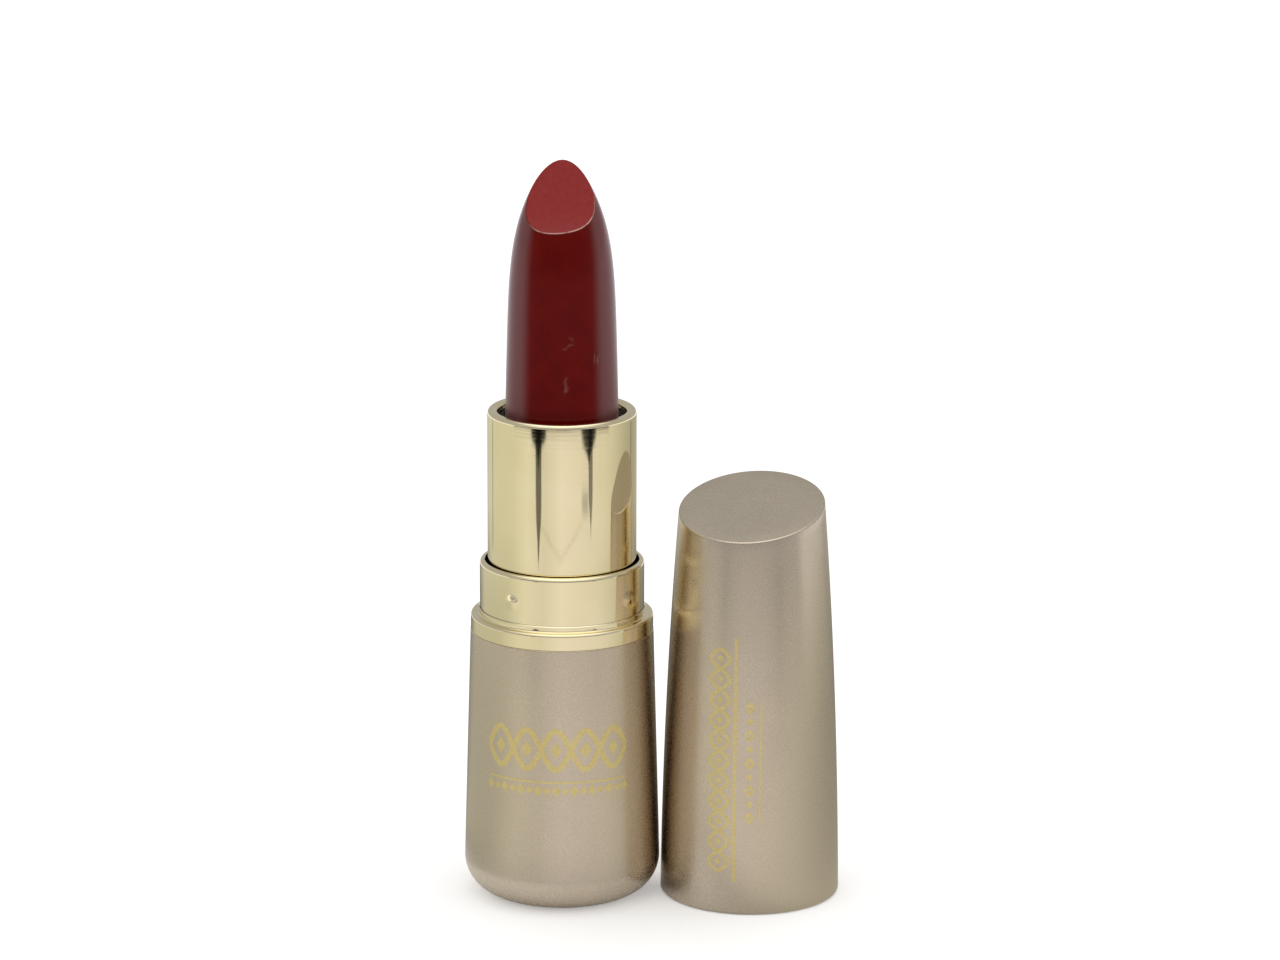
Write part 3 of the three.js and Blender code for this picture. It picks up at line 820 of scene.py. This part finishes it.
def mark_facet(mesh, pale):
    """Stores where the facet is, for its bloom, and a painted highlight along its front edge, with the pale
    lips of the nicks.
    """
    facet, pale_lips_and_painted_highlight = [], []
    for vertex in mesh.vertices:
        x, y, z = (c / MM for c in vertex.co)
        direction, r = math.atan2(y, x), math.hypot(x, y)
        edge_r = nose_point(facet_share(direction))[0]
        away = math.hypot(edge_r - r, z - facet_height(direction, edge_r))
        inside = (edge_r - r) / FACET_EDGE if z > facet_low else 0
        beside = min((z - BLOOM_FOOT) / BLOOM_FADE, 1 - away / BLOOM_REACH)
        facet.append(min(max(inside, beside, 0), 1))
        # A painted highlight along the facet's front edge, coming in towards the front.
        near = away / PAINTED_HIGHLIGHT_WIDTH
        front = min(max(-y / PAINTED_HIGHLIGHT_RISE - PAINTED_HIGHLIGHT_LATE + PAINTED_HIGHLIGHT_LEAN * x, 0), 1)
        line = max(1 - near ** 2, 0) * front if z > facet_low else 0
        pale_lips_and_painted_highlight.append(max(line, pale[vertex.index]))
    store(mesh, "facet", facet)
    store(mesh, "pale_lips_and_painted_highlight", pale_lips_and_painted_highlight)


# %% Wax bullet
bullet_mesh = lathe_mesh("bullet_fine", bullet_outline, segments=BULLET_SEGMENTS)
mark_facet(bullet_mesh, press_nicks(bullet_mesh))
finish_piece("bullet_fine", bullet_mesh, wax, "carrier", ["bullet"], sharp_degrees=60)

# %% [markdown]
# ## Bullet cup and fork
#
# Down inside the rim the wax sits in a plastic cup, and the cup slides in the slotted fork.
# Little of them shows, but when the wax is wound down you look straight in at them. The cup
# is spun like the rest. Its pins and the fork's slots are hidden by the tube, so the packed
# fork keeps its own shape and only the cup's round wall is made finer here.

# %% Bullet cup
CUP_WALL = 0.32
CUP_FLOOR = 1.0
VENT_RADIUS = 1.5
CUP_ROUND = 0.08

cup_radius = (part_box("bullet_cup")[1][1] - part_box("bullet_cup")[0][1]) / 2 / MM


def cup_outline():
    low, high = bottom("bullet_cup"), top("bullet_cup")
    inner = cup_radius - CUP_WALL
    lip = CUP_ROUND
    return [
        (VENT_RADIUS, low),
        (cup_radius - lip, low),
        (cup_radius, low + lip),
        *straight((cup_radius, low + lip), (cup_radius, high - lip), 8),
        *arc(cup_radius - lip, high - lip, lip, 0, 90, 3)[1:],
        *arc(inner + lip, high - lip, lip, 90, 180, 3),
        *straight((inner, high - lip), (inner, low + CUP_FLOOR), 8),
        (VENT_RADIUS, low + CUP_FLOOR),
    ]


finish_piece("bullet_cup_fine", lathe_mesh("bullet_cup_fine", cup_outline(), closed=True),
             pale_plastic, "carrier", ["bullet_cup"])

# %% [markdown]
# ## Cap
#
# The cap is a thin shell whose sides curve in very slightly towards a slanted flat top. As
# with the wax, the outline climbs until it meets the slanted plane and turns over a fine
# edge. That edge is what draws the bright line along the front of the top, so its size is
# worth getting right. The mouth is hemmed, and the wall inside runs up to the underside of
# the top.

# %% Cap wall and slant
CAP_WALL = 0.4
CAP_TOP_WALL = 0.7
CAP_HEIGHT = 43.06
CAP_DRAW_IN = 1.85
CAP_DRAW_LINEAR = 0.24
CAP_SLOPE = Vector((0.075, 0.25))
CAP_EDGE = 0.16
HEM_HEIGHT = 0.9
HEM_WIDTH = 0.55
HEM_ROUND = 0.45
HEM_BEVEL = 0.08
HEM_FLARE = 8               # the higher, the lower down the wall meets the mouth's own radius
WALL_ROWS = 40
INNER_ROWS = 16

cap_mouth_radius = half_width("cap_shell")


def cap_radius(z):
    u = z / CAP_HEIGHT
    return cap_mouth_radius - CAP_DRAW_IN * (CAP_DRAW_LINEAR * u + (1 - CAP_DRAW_LINEAR) * u * u)


def slant_height(direction, r, height=CAP_HEIGHT):
    """Height of a slanted plane that crosses the cap's axis at the given height."""
    return height + r * (CAP_SLOPE.x * math.cos(direction) + CAP_SLOPE.y * math.sin(direction))


def slant_meets_wall(direction, height, inset):
    """Where the slanted plane crosses the wall, by repeated correction."""
    z = height
    for _ in range(12):
        z = slant_height(direction, cap_radius(z) - inset, height)
    return cap_radius(z) - inset, z


print("cap wall at half height:", round(cap_radius(CAP_HEIGHT / 2), 3), "mm")


# %% Cap shell
def outer_wall(low, high):
    """The cap's outer wall, which flares to the mouth's radius over its lowest rows."""
    flare = cap_mouth_radius - cap_radius(low)
    return [(cap_radius(h) + flare * (1 - i / (WALL_ROWS - 1)) ** HEM_FLARE, h)
            for i, h in enumerate(np.linspace(low, high, WALL_ROWS)[:-1])]


def cap_outline(direction):
    """Down the inside, round the hem, up the wall, over the edge and along the top."""
    r, z = slant_meets_wall(direction, CAP_HEIGHT, 0)
    before = (cap_radius(z - CAP_EDGE), z - CAP_EDGE)
    flat = r - CAP_EDGE
    under = CAP_HEIGHT - CAP_TOP_WALL
    inner_r, inner_z = slant_meets_wall(direction, under, CAP_WALL)
    inner_wall = np.linspace(inner_z, HEM_HEIGHT, INNER_ROWS)
    hem = cap_mouth_radius - HEM_WIDTH
    return [
        (0, under),
        *[(inner_r * s, slant_height(direction, inner_r * s, under)) for s in (0.25, 0.5, 0.75)],
        *[(cap_radius(h) - CAP_WALL, h) for h in inner_wall],
        (hem, HEM_HEIGHT),
        (hem, HEM_BEVEL),
        (hem + HEM_BEVEL, 0),
        *arc(cap_mouth_radius - HEM_ROUND, HEM_ROUND, HEM_ROUND, -90, 0, 8)[:-1],
        *outer_wall(HEM_ROUND, before[1]),
        *rounded_corner(before, (r, z), (flat, slant_height(direction, flat))),
        *[(flat * s, slant_height(direction, flat * s)) for s in (0.75, 0.5, 0.25)],
        (0, CAP_HEIGHT),
    ]


finish_piece("cap_shell_fine", lathe_mesh("cap_shell_fine", cap_outline, centre_x=cap_x),
             champagne, "cap", ["cap_shell"])

# %% [markdown]
# ## Cap liner
#
# Seen from below, the cap is a well of dark plastic: a lead-in at the mouth, a shallow groove
# that clicks over the pips, a step in past the collar, and a roof.

# %% Cap liner
CAP_CLEARANCE = 0.08
RIM_CLEARANCE = 0.2
LINER_ROOF = 1.2
LEAD_IN = 0.5
COLLAR_ABOVE_RING = 5.9
LEAST_LINER_WALL = 0.32
ROOF_ROUND = 1.0
GROOVE_FLAT = 0.3           # half of the groove's floor
GROOVE_HALF = 0.75          # half of its mouth
LINER_BEVEL = (0.14, 0.15)  # at the mouth, across and up

liner_low = bottom("cap_liner")
liner_top = top("cap_liner")


def liner_outer(z):
    return cap_radius(z) - CAP_WALL - FIT_GAP


def liner_outline():
    """Along the roof, down the inside, round the mouth and up the outside."""
    mouth = collar_radius + CAP_CLEARANCE
    narrow = tube_radius + RIM_CLEARANCE
    groove = mouth + PIP_RISE - CAP_CLEARANCE
    ceiling = liner_top - LINER_ROOF
    roof = min(narrow, liner_outer(ceiling) - LEAST_LINER_WALL)
    shoulder = COLLAR_ABOVE_RING + LEAD_IN
    rim = rim_z - seat_z + LEAD_IN
    return [
        (0, ceiling),
        *straight((0, ceiling), (roof - ROOF_ROUND, ceiling), 4),
        *arc(roof - ROOF_ROUND, ceiling - ROOF_ROUND, ROOF_ROUND, 90, 0, 6)[1:],
        *straight((roof, ceiling - ROOF_ROUND), (narrow, rim), 6),
        *straight((narrow, rim), (narrow, shoulder + 1.5 * LEAD_IN), 8),
        (mouth, shoulder),
        (mouth, PIP_Z + GROOVE_HALF),
        (groove, PIP_Z + GROOVE_FLAT),
        (groove, PIP_Z - GROOVE_FLAT),
        (mouth, PIP_Z - GROOVE_HALF),
        (mouth, liner_low + LINER_BEVEL[1]),
        (mouth + LINER_BEVEL[0], liner_low),
        (liner_outer(liner_low), liner_low),
        *[(liner_outer(z), z) for z in np.linspace(PIP_Z, liner_top, 12)],
        (0, liner_top),
    ]


finish_piece("cap_liner_fine", lathe_mesh("cap_liner_fine", liner_outline(), centre_x=cap_x),
             dark_plastic, "cap", ["cap_liner"])

# %% [markdown]
# ## Foil decoration
#
# Stamped foil follows the surface, a few hundredths of a millimetre proud of it. Each motif
# is drawn flat, as lines and lozenges in millimetres along and up the surface, and wrapped on
# afterwards. The design is a plain ornament: two waves that cross to make a row of eyes, a
# lozenge in each eye, and a fine row of dots and bars beside it.

# %% Foil helpers
FOIL_RISE = 0.014
FOIL_SINK = 0.01
DOT = 0.34                  # radius of the round dots


class Foil:
    """Collects flat motifs and wraps them round a turned surface as thin closed pieces."""

    def __init__(self, radius_at, centre_x, facing, upright=False):
        self.radius_at, self.centre_x = radius_at, centre_x
        self.facing, self.upright = facing, upright
        self.places, self.faces = [], []

    def wrap(self, u, v, rise):
        """The place in space of a flat point, lifted off the surface by rise."""
        along, z = (v, u) if self.upright else (u, v)
        r = self.radius_at(z)
        a = self.facing + along / r
        return (self.centre_x + (r + rise) * math.cos(a), (r + rise) * math.sin(a), z)

    def strip(self, left, right, closed=False):
        """A thin closed band between two rows of flat points."""
        start = len(self.places)
        for a, b in zip(left, right):
            for (u, v), rise in ((a, FOIL_RISE), (b, FOIL_RISE), (b, -FOIL_SINK), (a, -FOIL_SINK)):
                self.places.append(self.wrap(u, v, rise))
        count = len(left)
        for i in range(count if closed else count - 1):
            p, q = start + 4 * i, start + 4 * ((i + 1) % count)
            for k in range(4):
                n = (k + 1) % 4
                self.faces.append((p + k, p + n, q + n, q + k))
        if not closed:
            end = start + 4 * (count - 1)
            self.faces.append((start + 3, start + 2, start + 1, start))
            self.faces.append((end, end + 1, end + 2, end + 3))

    def line(self, points, width, closed=False):
        """A stroke of even width along flat points."""
        points = np.array(points, float)
        if closed:
            along = np.roll(points, -1, 0) - np.roll(points, 1, 0)
        else:
            along = np.gradient(points, axis=0)
        across = np.stack([-along[:, 1], along[:, 0]], 1)
        across *= width / 2 / np.linalg.norm(across, axis=1, keepdims=True)
        self.strip(points + across, points - across, closed)

    def lozenge(self, u, v, half_u, half_v, rounded=False, steps=10):
        """A filled shape, either pointed or rounded like an ellipse."""
        share = np.sin(np.linspace(-math.pi / 2, math.pi / 2, steps + 1)) * 0.98
        power = 2.0 if rounded else 1.0
        reach = half_v * (1 - np.abs(share) ** power) ** (1 / power)
        left = [(u + half_u * s, v + w) for s, w in zip(share, reach)]
        right = [(u + half_u * s, v - w) for s, w in zip(share, reach)]
        self.strip(left, right)

    def mesh(self, name):
        mesh = bpy.data.meshes.new(name)
        mesh.from_pydata([tuple(c * MM for c in p) for p in self.places], [], self.faces)
        mesh.update()
        return mesh


def wave(start, end, middle, height, periods, phase):
    """Flat points of a wave from start to end."""
    steps = int(periods * 24)
    points = []
    for i in range(steps + 1):
        t = i / steps
        points.append((start + (end - start) * t,
                       middle + height * math.sin(2 * math.pi * periods * t + phase)))
    return points


def eye_chain(foil, start, end, middle, height, eyes, width):
    """Two waves that cross to make a row of eyes, with a lozenge in each."""
    for phase in (0, math.pi):
        foil.line(wave(start, end, middle, height, eyes / 2, phase), width)
    pitch = (end - start) / eyes
    for k in range(eyes):
        foil.lozenge(start + (k + 0.5) * pitch, middle, 0.2 * pitch, 0.42 * height)


# %% Foil on the base
FRONT = -math.pi / 2


def base_foil():
    """A chain of eyes round the front, over a rule and a row of marks."""
    foil_band = Foil(base_radius, 0.0, FRONT - 0.05)
    eye_chain(foil_band, -8.0, 8.0, 18.6, 2.15, 5, 0.62)
    foil_band.line([(u, 15.05) for u in np.linspace(-8.0, 8.0, 60)], 0.22)
    for k in range(-8, 9):
        if k % 2:
            foil_band.lozenge(k * 0.98, 14.1, DOT, DOT, rounded=True, steps=8)
        else:
            foil_band.lozenge(k * 0.98, 14.1, 0.5, 0.62)
    return foil_band.mesh("base_foil")


finish_piece("base_foil", base_foil(), foil, "base")


# %% Foil on the cap
def cap_foil():
    """A rule up the cap, with a chain of eyes on its left and a row of marks on its right."""
    rule = Foil(cap_radius, cap_x, FRONT - 0.2, upright=True)
    rule.line([(z, 0) for z in np.linspace(3.7, 30.6, 90)], 0.36)
    left = Foil(cap_radius, cap_x, FRONT - 0.2, upright=True)
    eye_chain(left, 4.8, 29.4, -1.75, 1.05, 11, 0.4)
    right = Foil(cap_radius, cap_x, FRONT - 0.2, upright=True)
    right.line([(z, 2.75) for z in np.linspace(10.4, 23.6, 50)], 0.2)
    for k in range(9):
        z = 10.9 + k * 1.52
        if k % 2:
            right.lozenge(z, 1.6, DOT, DOT, rounded=True, steps=8)
        else:
            right.lozenge(z, 1.6, 0.72, 0.6)
    whole = Foil(cap_radius, cap_x, 0)
    for part in (rule, left, right):
        shift = len(whole.places)
        whole.places += part.places
        whole.faces += [tuple(v + shift for v in face) for face in part.faces]
    return whole.mesh("cap_foil")


finish_piece("cap_foil", cap_foil(), foil, "cap")

# %% [markdown]
# ## Shade label
#
# Underneath, a label would carry the shade's name. This one is blank.

# %% Shade label
LABEL_BEVEL = 0.05


def label_outline():
    edge = LABEL_BEVEL
    return [
        (0, 0),
        *straight((0, 0), (label_radius - edge, 0), 6),
        (label_radius, edge),
        (label_radius, label_thickness - edge),
        (label_radius - edge, label_thickness),
        (0, label_thickness),
    ]


finish_piece("shade_label_fine", lathe_mesh("shade_label_fine", label_outline(), segments=128),
             label_film, "base", ["shade_label"])

# %% [markdown]
# ## Pieces kept as packed
#
# The weights, the base's liner, the fork, the spiral sleeve and the friction ring are inside
# and already have their right shape. They keep it, and get the finishes made above.

# %% Finishes of the inner pieces
KEPT_FINISHES = {
    "base_weight": steel,
    "cap_weight": steel,
    "base_liner": dark_plastic,
    "fork_tube": dark_plastic,
    "friction_ring": silicone,
    "spiral_sleeve": pale_plastic,
}

for name, finish in KEPT_FINISHES.items():
    kept = nodes[name]
    kept.data.materials.clear()
    kept.data.materials.append(finish)
    print(name, "keeps its shape, in", finish.name)

# %% [markdown]
# ## Studio
#
# A white sweep with light from everywhere gives the clean look of a catalogue page, and soft
# shadows only where pieces meet the table. Upright metal seen from a little above mirrors the
# table around it, so the table is what draws the gold. What the gold mirrors lies on a
# separate mirror table that only reflections see, so the table that the eye sees stays plain.

# %% Floor
SHEET_SIZE = 3.0            # metres each way from the axis
FLOOR_GLOW = 0.30           # seen directly
FLOOR_DROP = -0.00002       # metres, so that the foot doesn't lie in the same plane
FLOOR_MIRRORED = 0.02       # seen in shiny pieces


def flat_sheet(name, material, height):
    """A large level square at a height in metres."""
    size = SHEET_SIZE
    mesh = bpy.data.meshes.new(name)
    mesh.from_pydata([(-size, -size, 0), (size, -size, 0), (size, size, 0), (-size, size, 0)], [],
                     [(0, 1, 2, 3)])
    mesh.materials.append(material)
    sheet = bpy.data.objects.new(name, mesh)
    sheet.location.z = height
    bpy.context.collection.objects.link(sheet)
    return sheet


def make_floor():
    material, tree, shader = new_material("floor_paper", Roughness=0.9, Specular_IOR_Level=0.1)
    shader.inputs["Base Color"].default_value = (0.93, 0.93, 0.93, 1)
    shader.inputs["Emission Color"].default_value = (1, 1, 1, 1)
    seen = node(tree, "ShaderNodeLightPath")
    glow = math_node(tree, "ADD",
                     math_node(tree, "MULTIPLY", seen.outputs["Is Camera Ray"], FLOOR_GLOW),
                     math_node(tree, "MULTIPLY", seen.outputs["Is Glossy Ray"], FLOOR_MIRRORED))
    tree.links.new(glow, shader.inputs["Emission Strength"])
    floor = flat_sheet("floor", material, FLOOR_DROP)


make_floor()


# %% Stage light helpers
def absolute(tree, value):
    return math_node(tree, "ABSOLUTE", value, 0.0)


def product(tree, *values):
    result = values[0]
    for value in values[1:]:
        result = math_node(tree, "MULTIPLY", result, value)
    return result


def less(tree, value, amount):
    """value times (1 - amount)."""
    return math_node(tree, "MULTIPLY", value, math_node(tree, "SUBTRACT", 1.0, amount))


def window(tree, value, low, high, soft):
    """1 between low and high, with soft edges."""
    return product(tree, smooth_step(tree, value, low - soft, low + soft),
                   smooth_step(tree, value, high - soft, high + soft, 1.0, 0.0))


# %% [markdown]
# The light comes from all round. Matt surfaces receive it evenly. Shiny ones mirror it: grey
# low down behind and beside, brighter in front, brightest overhead, and a band low in front
# where the room is darker. All the limits below are heights or shares of the front, as they
# are on a ball of radius 1 round the case.

# %% World light
FILL_LEVEL = 0.92           # what matt surfaces receive
BACK_LEVEL = 0.43           # what shiny ones mirror from low behind and beside
OVERHEAD_EXTRA = 0.9
OVERHEAD_LIMITS = (0.72, 0.97)
FRONT_EXTRA = 0.45
FRONT_LIMITS = (0.1, 0.7)
FRONT_HEIGHTS = (0.3, 0.5)
ROOM_LEVEL = 0.58           # far end of the room in front
ROOM_LIMITS = (0.42, 0.6)
ROOM_HEIGHTS = (-0.5, 0.34, 0.08)       # low, high, and how soft both are
LAMP_COLOUR = (1.0, 0.997, 0.99, 1)


def make_world():
    world = bpy.data.worlds.new("studio")
    bpy.context.scene.world = world
    world.use_nodes = True
    tree = world.node_tree
    tree.nodes.clear()
    place = node(tree, "ShaderNodeTexCoord")
    axes = node(tree, "ShaderNodeSeparateXYZ", {0: place.outputs["Generated"]})
    y, z = axes.outputs["Y"], axes.outputs["Z"]
    front = math_node(tree, "MULTIPLY", y, -1.0)
    overhead = smooth_step(tree, z, *OVERHEAD_LIMITS, 0.0, OVERHEAD_EXTRA)
    ahead = product(tree, smooth_step(tree, front, *FRONT_LIMITS), smooth_step(tree, z, *FRONT_HEIGHTS),
                    FRONT_EXTRA)
    level = math_node(tree, "ADD", BACK_LEVEL, math_node(tree, "ADD", overhead, ahead))
    room = product(tree, smooth_step(tree, front, *ROOM_LIMITS), window(tree, z, *ROOM_HEIGHTS),
                   1 - ROOM_LEVEL)
    seen = node(tree, "ShaderNodeLightPath")
    mirrored = node(tree, "ShaderNodeBackground", {"Strength": less(tree, level, room)})
    fill = node(tree, "ShaderNodeBackground", Strength=FILL_LEVEL)
    backdrop = node(tree, "ShaderNodeBackground", Strength=1.0)
    for shader in (mirrored, fill, backdrop):
        shader.inputs["Color"].default_value = LAMP_COLOUR
    matt = node(tree, "ShaderNodeMixShader",
                {0: seen.outputs["Is Diffuse Ray"], 1: mirrored.outputs[0], 2: fill.outputs[0]})
    mix = node(tree, "ShaderNodeMixShader",
               {0: seen.outputs["Is Camera Ray"], 1: matt.outputs[0], 2: backdrop.outputs[0]})
    result = node(tree, "ShaderNodeOutputWorld")
    tree.links.new(mix.outputs[0], result.inputs["Surface"])


make_world()
bpy.context.scene.view_settings.view_transform = "Standard"

# %% [markdown]
# ## Mirror table
#
# Each ring of the mirror table is seen by one height of the upright walls, because a low ray
# that falls about one in four meets the table four times as far out as its height. So the
# table is drawn by direction and by distance from the axis. It holds sheets of pale paper,
# and the gaps between them are the two dark streaks down the tube. The paper ends at the
# distance that the tube's rim looks at, about 23 centimetres away. Beyond it in front the room
# is dark, and so the wax above the rim mirrors darkness there.

# %% What lies on the mirror table
PAPER_END = 227.0           # all distances are in millimetres from the axis
PAPER_START = 14.0
PAPER_SOFT = 2.0
SHEET_LEVELS = [            # degrees from the front, colour mirrored from there
    (-180, (0.50, 0.50, 0.44)),
    (-140, (0.66, 0.65, 0.56)),
    (-80, (0.68, 0.68, 0.58)),
    (-53, (0.79, 0.77, 0.69)),
    (-25, (0.72, 0.70, 0.64)),
    (0, (0.85, 0.82, 0.80)),
    (25, (0.80, 0.77, 0.74)),
    (70, (0.72, 0.70, 0.62)),
    (110, (0.50, 0.49, 0.42)),
    (140, (0.40, 0.39, 0.33)),
    (180, (0.50, 0.50, 0.44)),
]
STREAKS = [                 # degrees from the front, spread, distances where it opens and is widest, dark
    (-34.7, 5.6, 143, 186, 0.78),
    (-34.7, 15.0, 203, 224, 0.97),
    (44.9, 4.0, 160, 190, 0.70),
    (42.0, 15.0, 203, 224, 0.97),
]
STREAK_END = 1.08           # as a share of the paper's end, where the last of a streak has faded

# %% [markdown]
# Smaller things lie on it too: a fold shaped like a V, a soft smudge, a seam on each side
# towards the back, and the shade of the case itself, which darkens the table close by.

# %% Shades on the mirror table
FOLD_TIP = (-1.5, 153.0)    # degrees and distance
FOLD_SLOPE = 0.58           # millimetres a degree
FOLD_WIDTH = (0.3, 1.8)     # half width of its dark line, and where the line has faded
FOLD_LIMITS = (-34, 30, 1.5)    # degrees
FOLD_DARK = 0.24
SMUDGE_TURN = (31.0, 41.0, 2.5)         # degrees
SMUDGE_PLACE = (175.0, 191.0, 4)        # distances
SMUDGE_DARK = 0.40
SEAM_TURN = (130.5, 133.5, 1.0)
SEAM_PLACE = (150, 224, 4)
SEAM_DARK = 0.5
FOOT_SHADE = 0.66           # how much darker the table is close to the case
FOOT_SHADE_END = 34.0
SHADE_PLACE = (115, 175)    # distances over which the two shades below fade
SIDE_SHADE = 0.18
SIDE_TURN = (40, 90)
HIND_SHADE = 0.60
HIND_TURN = (130, 165)


def gap(tree, angle, distance, middle, spread, near, far):
    """A dark gap between two sheets, that opens from nothing at near to its spread at far."""
    half = smooth_step(tree, distance, near, far, 0.01, spread)
    off = absolute(tree, math_node(tree, "SUBTRACT", angle, middle))
    inside = math_node(tree, "SUBTRACT", 1.0, math_node(tree, "DIVIDE", off, half))
    return smooth_step(tree, inside, 0.0, 0.4)


def fold(tree, angle, distance):
    """A thin dark V on the middle sheet."""
    middle, tip = FOLD_TIP
    off = absolute(tree, math_node(tree, "SUBTRACT", angle, middle))
    line = math_node(tree, "ADD", math_node(tree, "MULTIPLY", off, FOLD_SLOPE), tip)
    away = absolute(tree, math_node(tree, "SUBTRACT", distance, line))
    return product(tree, smooth_step(tree, away, *FOLD_WIDTH, 1.0, 0.0),
                   window(tree, angle, *FOLD_LIMITS), FOLD_DARK)


def table_shades(tree, angle, sides, distance):
    """Everything that darkens the paper, apart from the streaks."""
    close = smooth_step(tree, distance, *SHADE_PLACE, 1.0, 0.0)
    return [
        product(tree, window(tree, sides, *SEAM_TURN), window(tree, distance, *SEAM_PLACE), SEAM_DARK),
        product(tree, smooth_step(tree, distance, PAPER_START, FOOT_SHADE_END, 1.0, 0.0), FOOT_SHADE),
        product(tree, smooth_step(tree, sides, *SIDE_TURN), close, SIDE_SHADE),
        product(tree, smooth_step(tree, sides, *HIND_TURN), close, HIND_SHADE),
        fold(tree, angle, distance),
        product(tree, window(tree, angle, *SMUDGE_TURN), window(tree, distance, *SMUDGE_PLACE), SMUDGE_DARK),
    ]


# %% Beyond the paper
ROOM_SIDE = 77.0            # degrees from the front, where the dark room ends
ROOM_SOFT = 3
ROOM_PLACE = (240, 310)     # distances from where it is darkest to its far end
ROOM_DARK = 0.985
CARD_LEVEL = (1.05, 1.03, 1.10)     # cards beside the wax
CARD_FULL = 300


def darken_room(tree, level, sides, distance):
    """Makes the room in front of the paper dark."""
    ahead = smooth_step(tree, sides, ROOM_SIDE - ROOM_SOFT, ROOM_SIDE + ROOM_SOFT, 1.0, 0.0)
    beyond = smooth_step(tree, distance, PAPER_END - PAPER_SOFT, PAPER_END + PAPER_SOFT)
    far_off = smooth_step(tree, distance, *ROOM_PLACE, ROOM_DARK, 1 - ROOM_LEVEL)
    return less(tree, level, product(tree, beyond, ahead, far_off))


def table_colour(tree, angle, distance):
    """The colour of the sheets by direction, which gives way to the cards further out."""
    turn = math_node(tree, "DIVIDE", math_node(tree, "ADD", angle, 180.0), 360.0)
    ramp = node(tree, "ShaderNodeValToRGB", {"Fac": turn})
    stops = ramp.color_ramp.elements
    stops[0].color = (*SHEET_LEVELS[0][1], 1)
    stops[-1].color = (*SHEET_LEVELS[-1][1], 1)
    for degrees, colour in SHEET_LEVELS[1:-1]:
        stops.new((degrees + 180) / 360).color = (*colour, 1)
    standing = smooth_step(tree, distance, PAPER_END, CARD_FULL)
    return blend_colours(tree, standing, ramp.outputs["Color"], flat_colour(tree, (*CARD_LEVEL, 1)))


# %% Lay the mirror table
TABLE_LIFT = 0.00005        # metres, above the floor


def turn_and_distance(tree):
    """Degrees from the front, and millimetres from the axis."""
    place = node(tree, "ShaderNodeTexCoord")
    axes = node(tree, "ShaderNodeSeparateXYZ", {0: place.outputs["Object"]})
    length = node(tree, "ShaderNodeVectorMath", {0: place.outputs["Object"]}, operation="LENGTH")
    front = math_node(tree, "MULTIPLY", axes.outputs["Y"], -1.0)
    turn = math_node(tree, "ARCTAN2", axes.outputs["X"], front)
    return (math_node(tree, "MULTIPLY", turn, 180 / math.pi),
            math_node(tree, "MULTIPLY", length.outputs["Value"], 1000.0))


def make_table_light():
    material = bpy.data.materials.new("mirror_table_light")
    material.use_nodes = True
    tree = material.node_tree
    tree.nodes.clear()
    angle, distance = turn_and_distance(tree)
    sides = absolute(tree, angle)
    level = 1.0
    on_paper = smooth_step(tree, distance, PAPER_END, STREAK_END * PAPER_END, 1.0, 0.0)
    for middle, spread, near, far, dark in STREAKS:
        opening = gap(tree, angle, distance, middle, spread, near, far)
        level = less(tree, level, product(tree, opening, on_paper, dark))
    for shade in table_shades(tree, angle, sides, distance):
        level = less(tree, level, shade)
    level = darken_room(tree, level, sides, distance)
    light = node(tree, "ShaderNodeEmission",
                 {"Color": table_colour(tree, angle, distance), "Strength": level})
    clear = node(tree, "ShaderNodeBsdfTransparent")
    covered = smooth_step(tree, distance, PAPER_START, 2 * PAPER_START)
    mix = node(tree, "ShaderNodeMixShader", {0: covered, 1: clear.outputs[0], 2: light.outputs[0]})
    result = node(tree, "ShaderNodeOutputMaterial")
    tree.links.new(mix.outputs[0], result.inputs["Surface"])
    return material


table = flat_sheet("mirror_table", make_table_light(), TABLE_LIFT)
table.visible_camera = False
table.visible_diffuse = False
table.visible_shadow = False
table.visible_transmission = False
print("stage:", table.name)
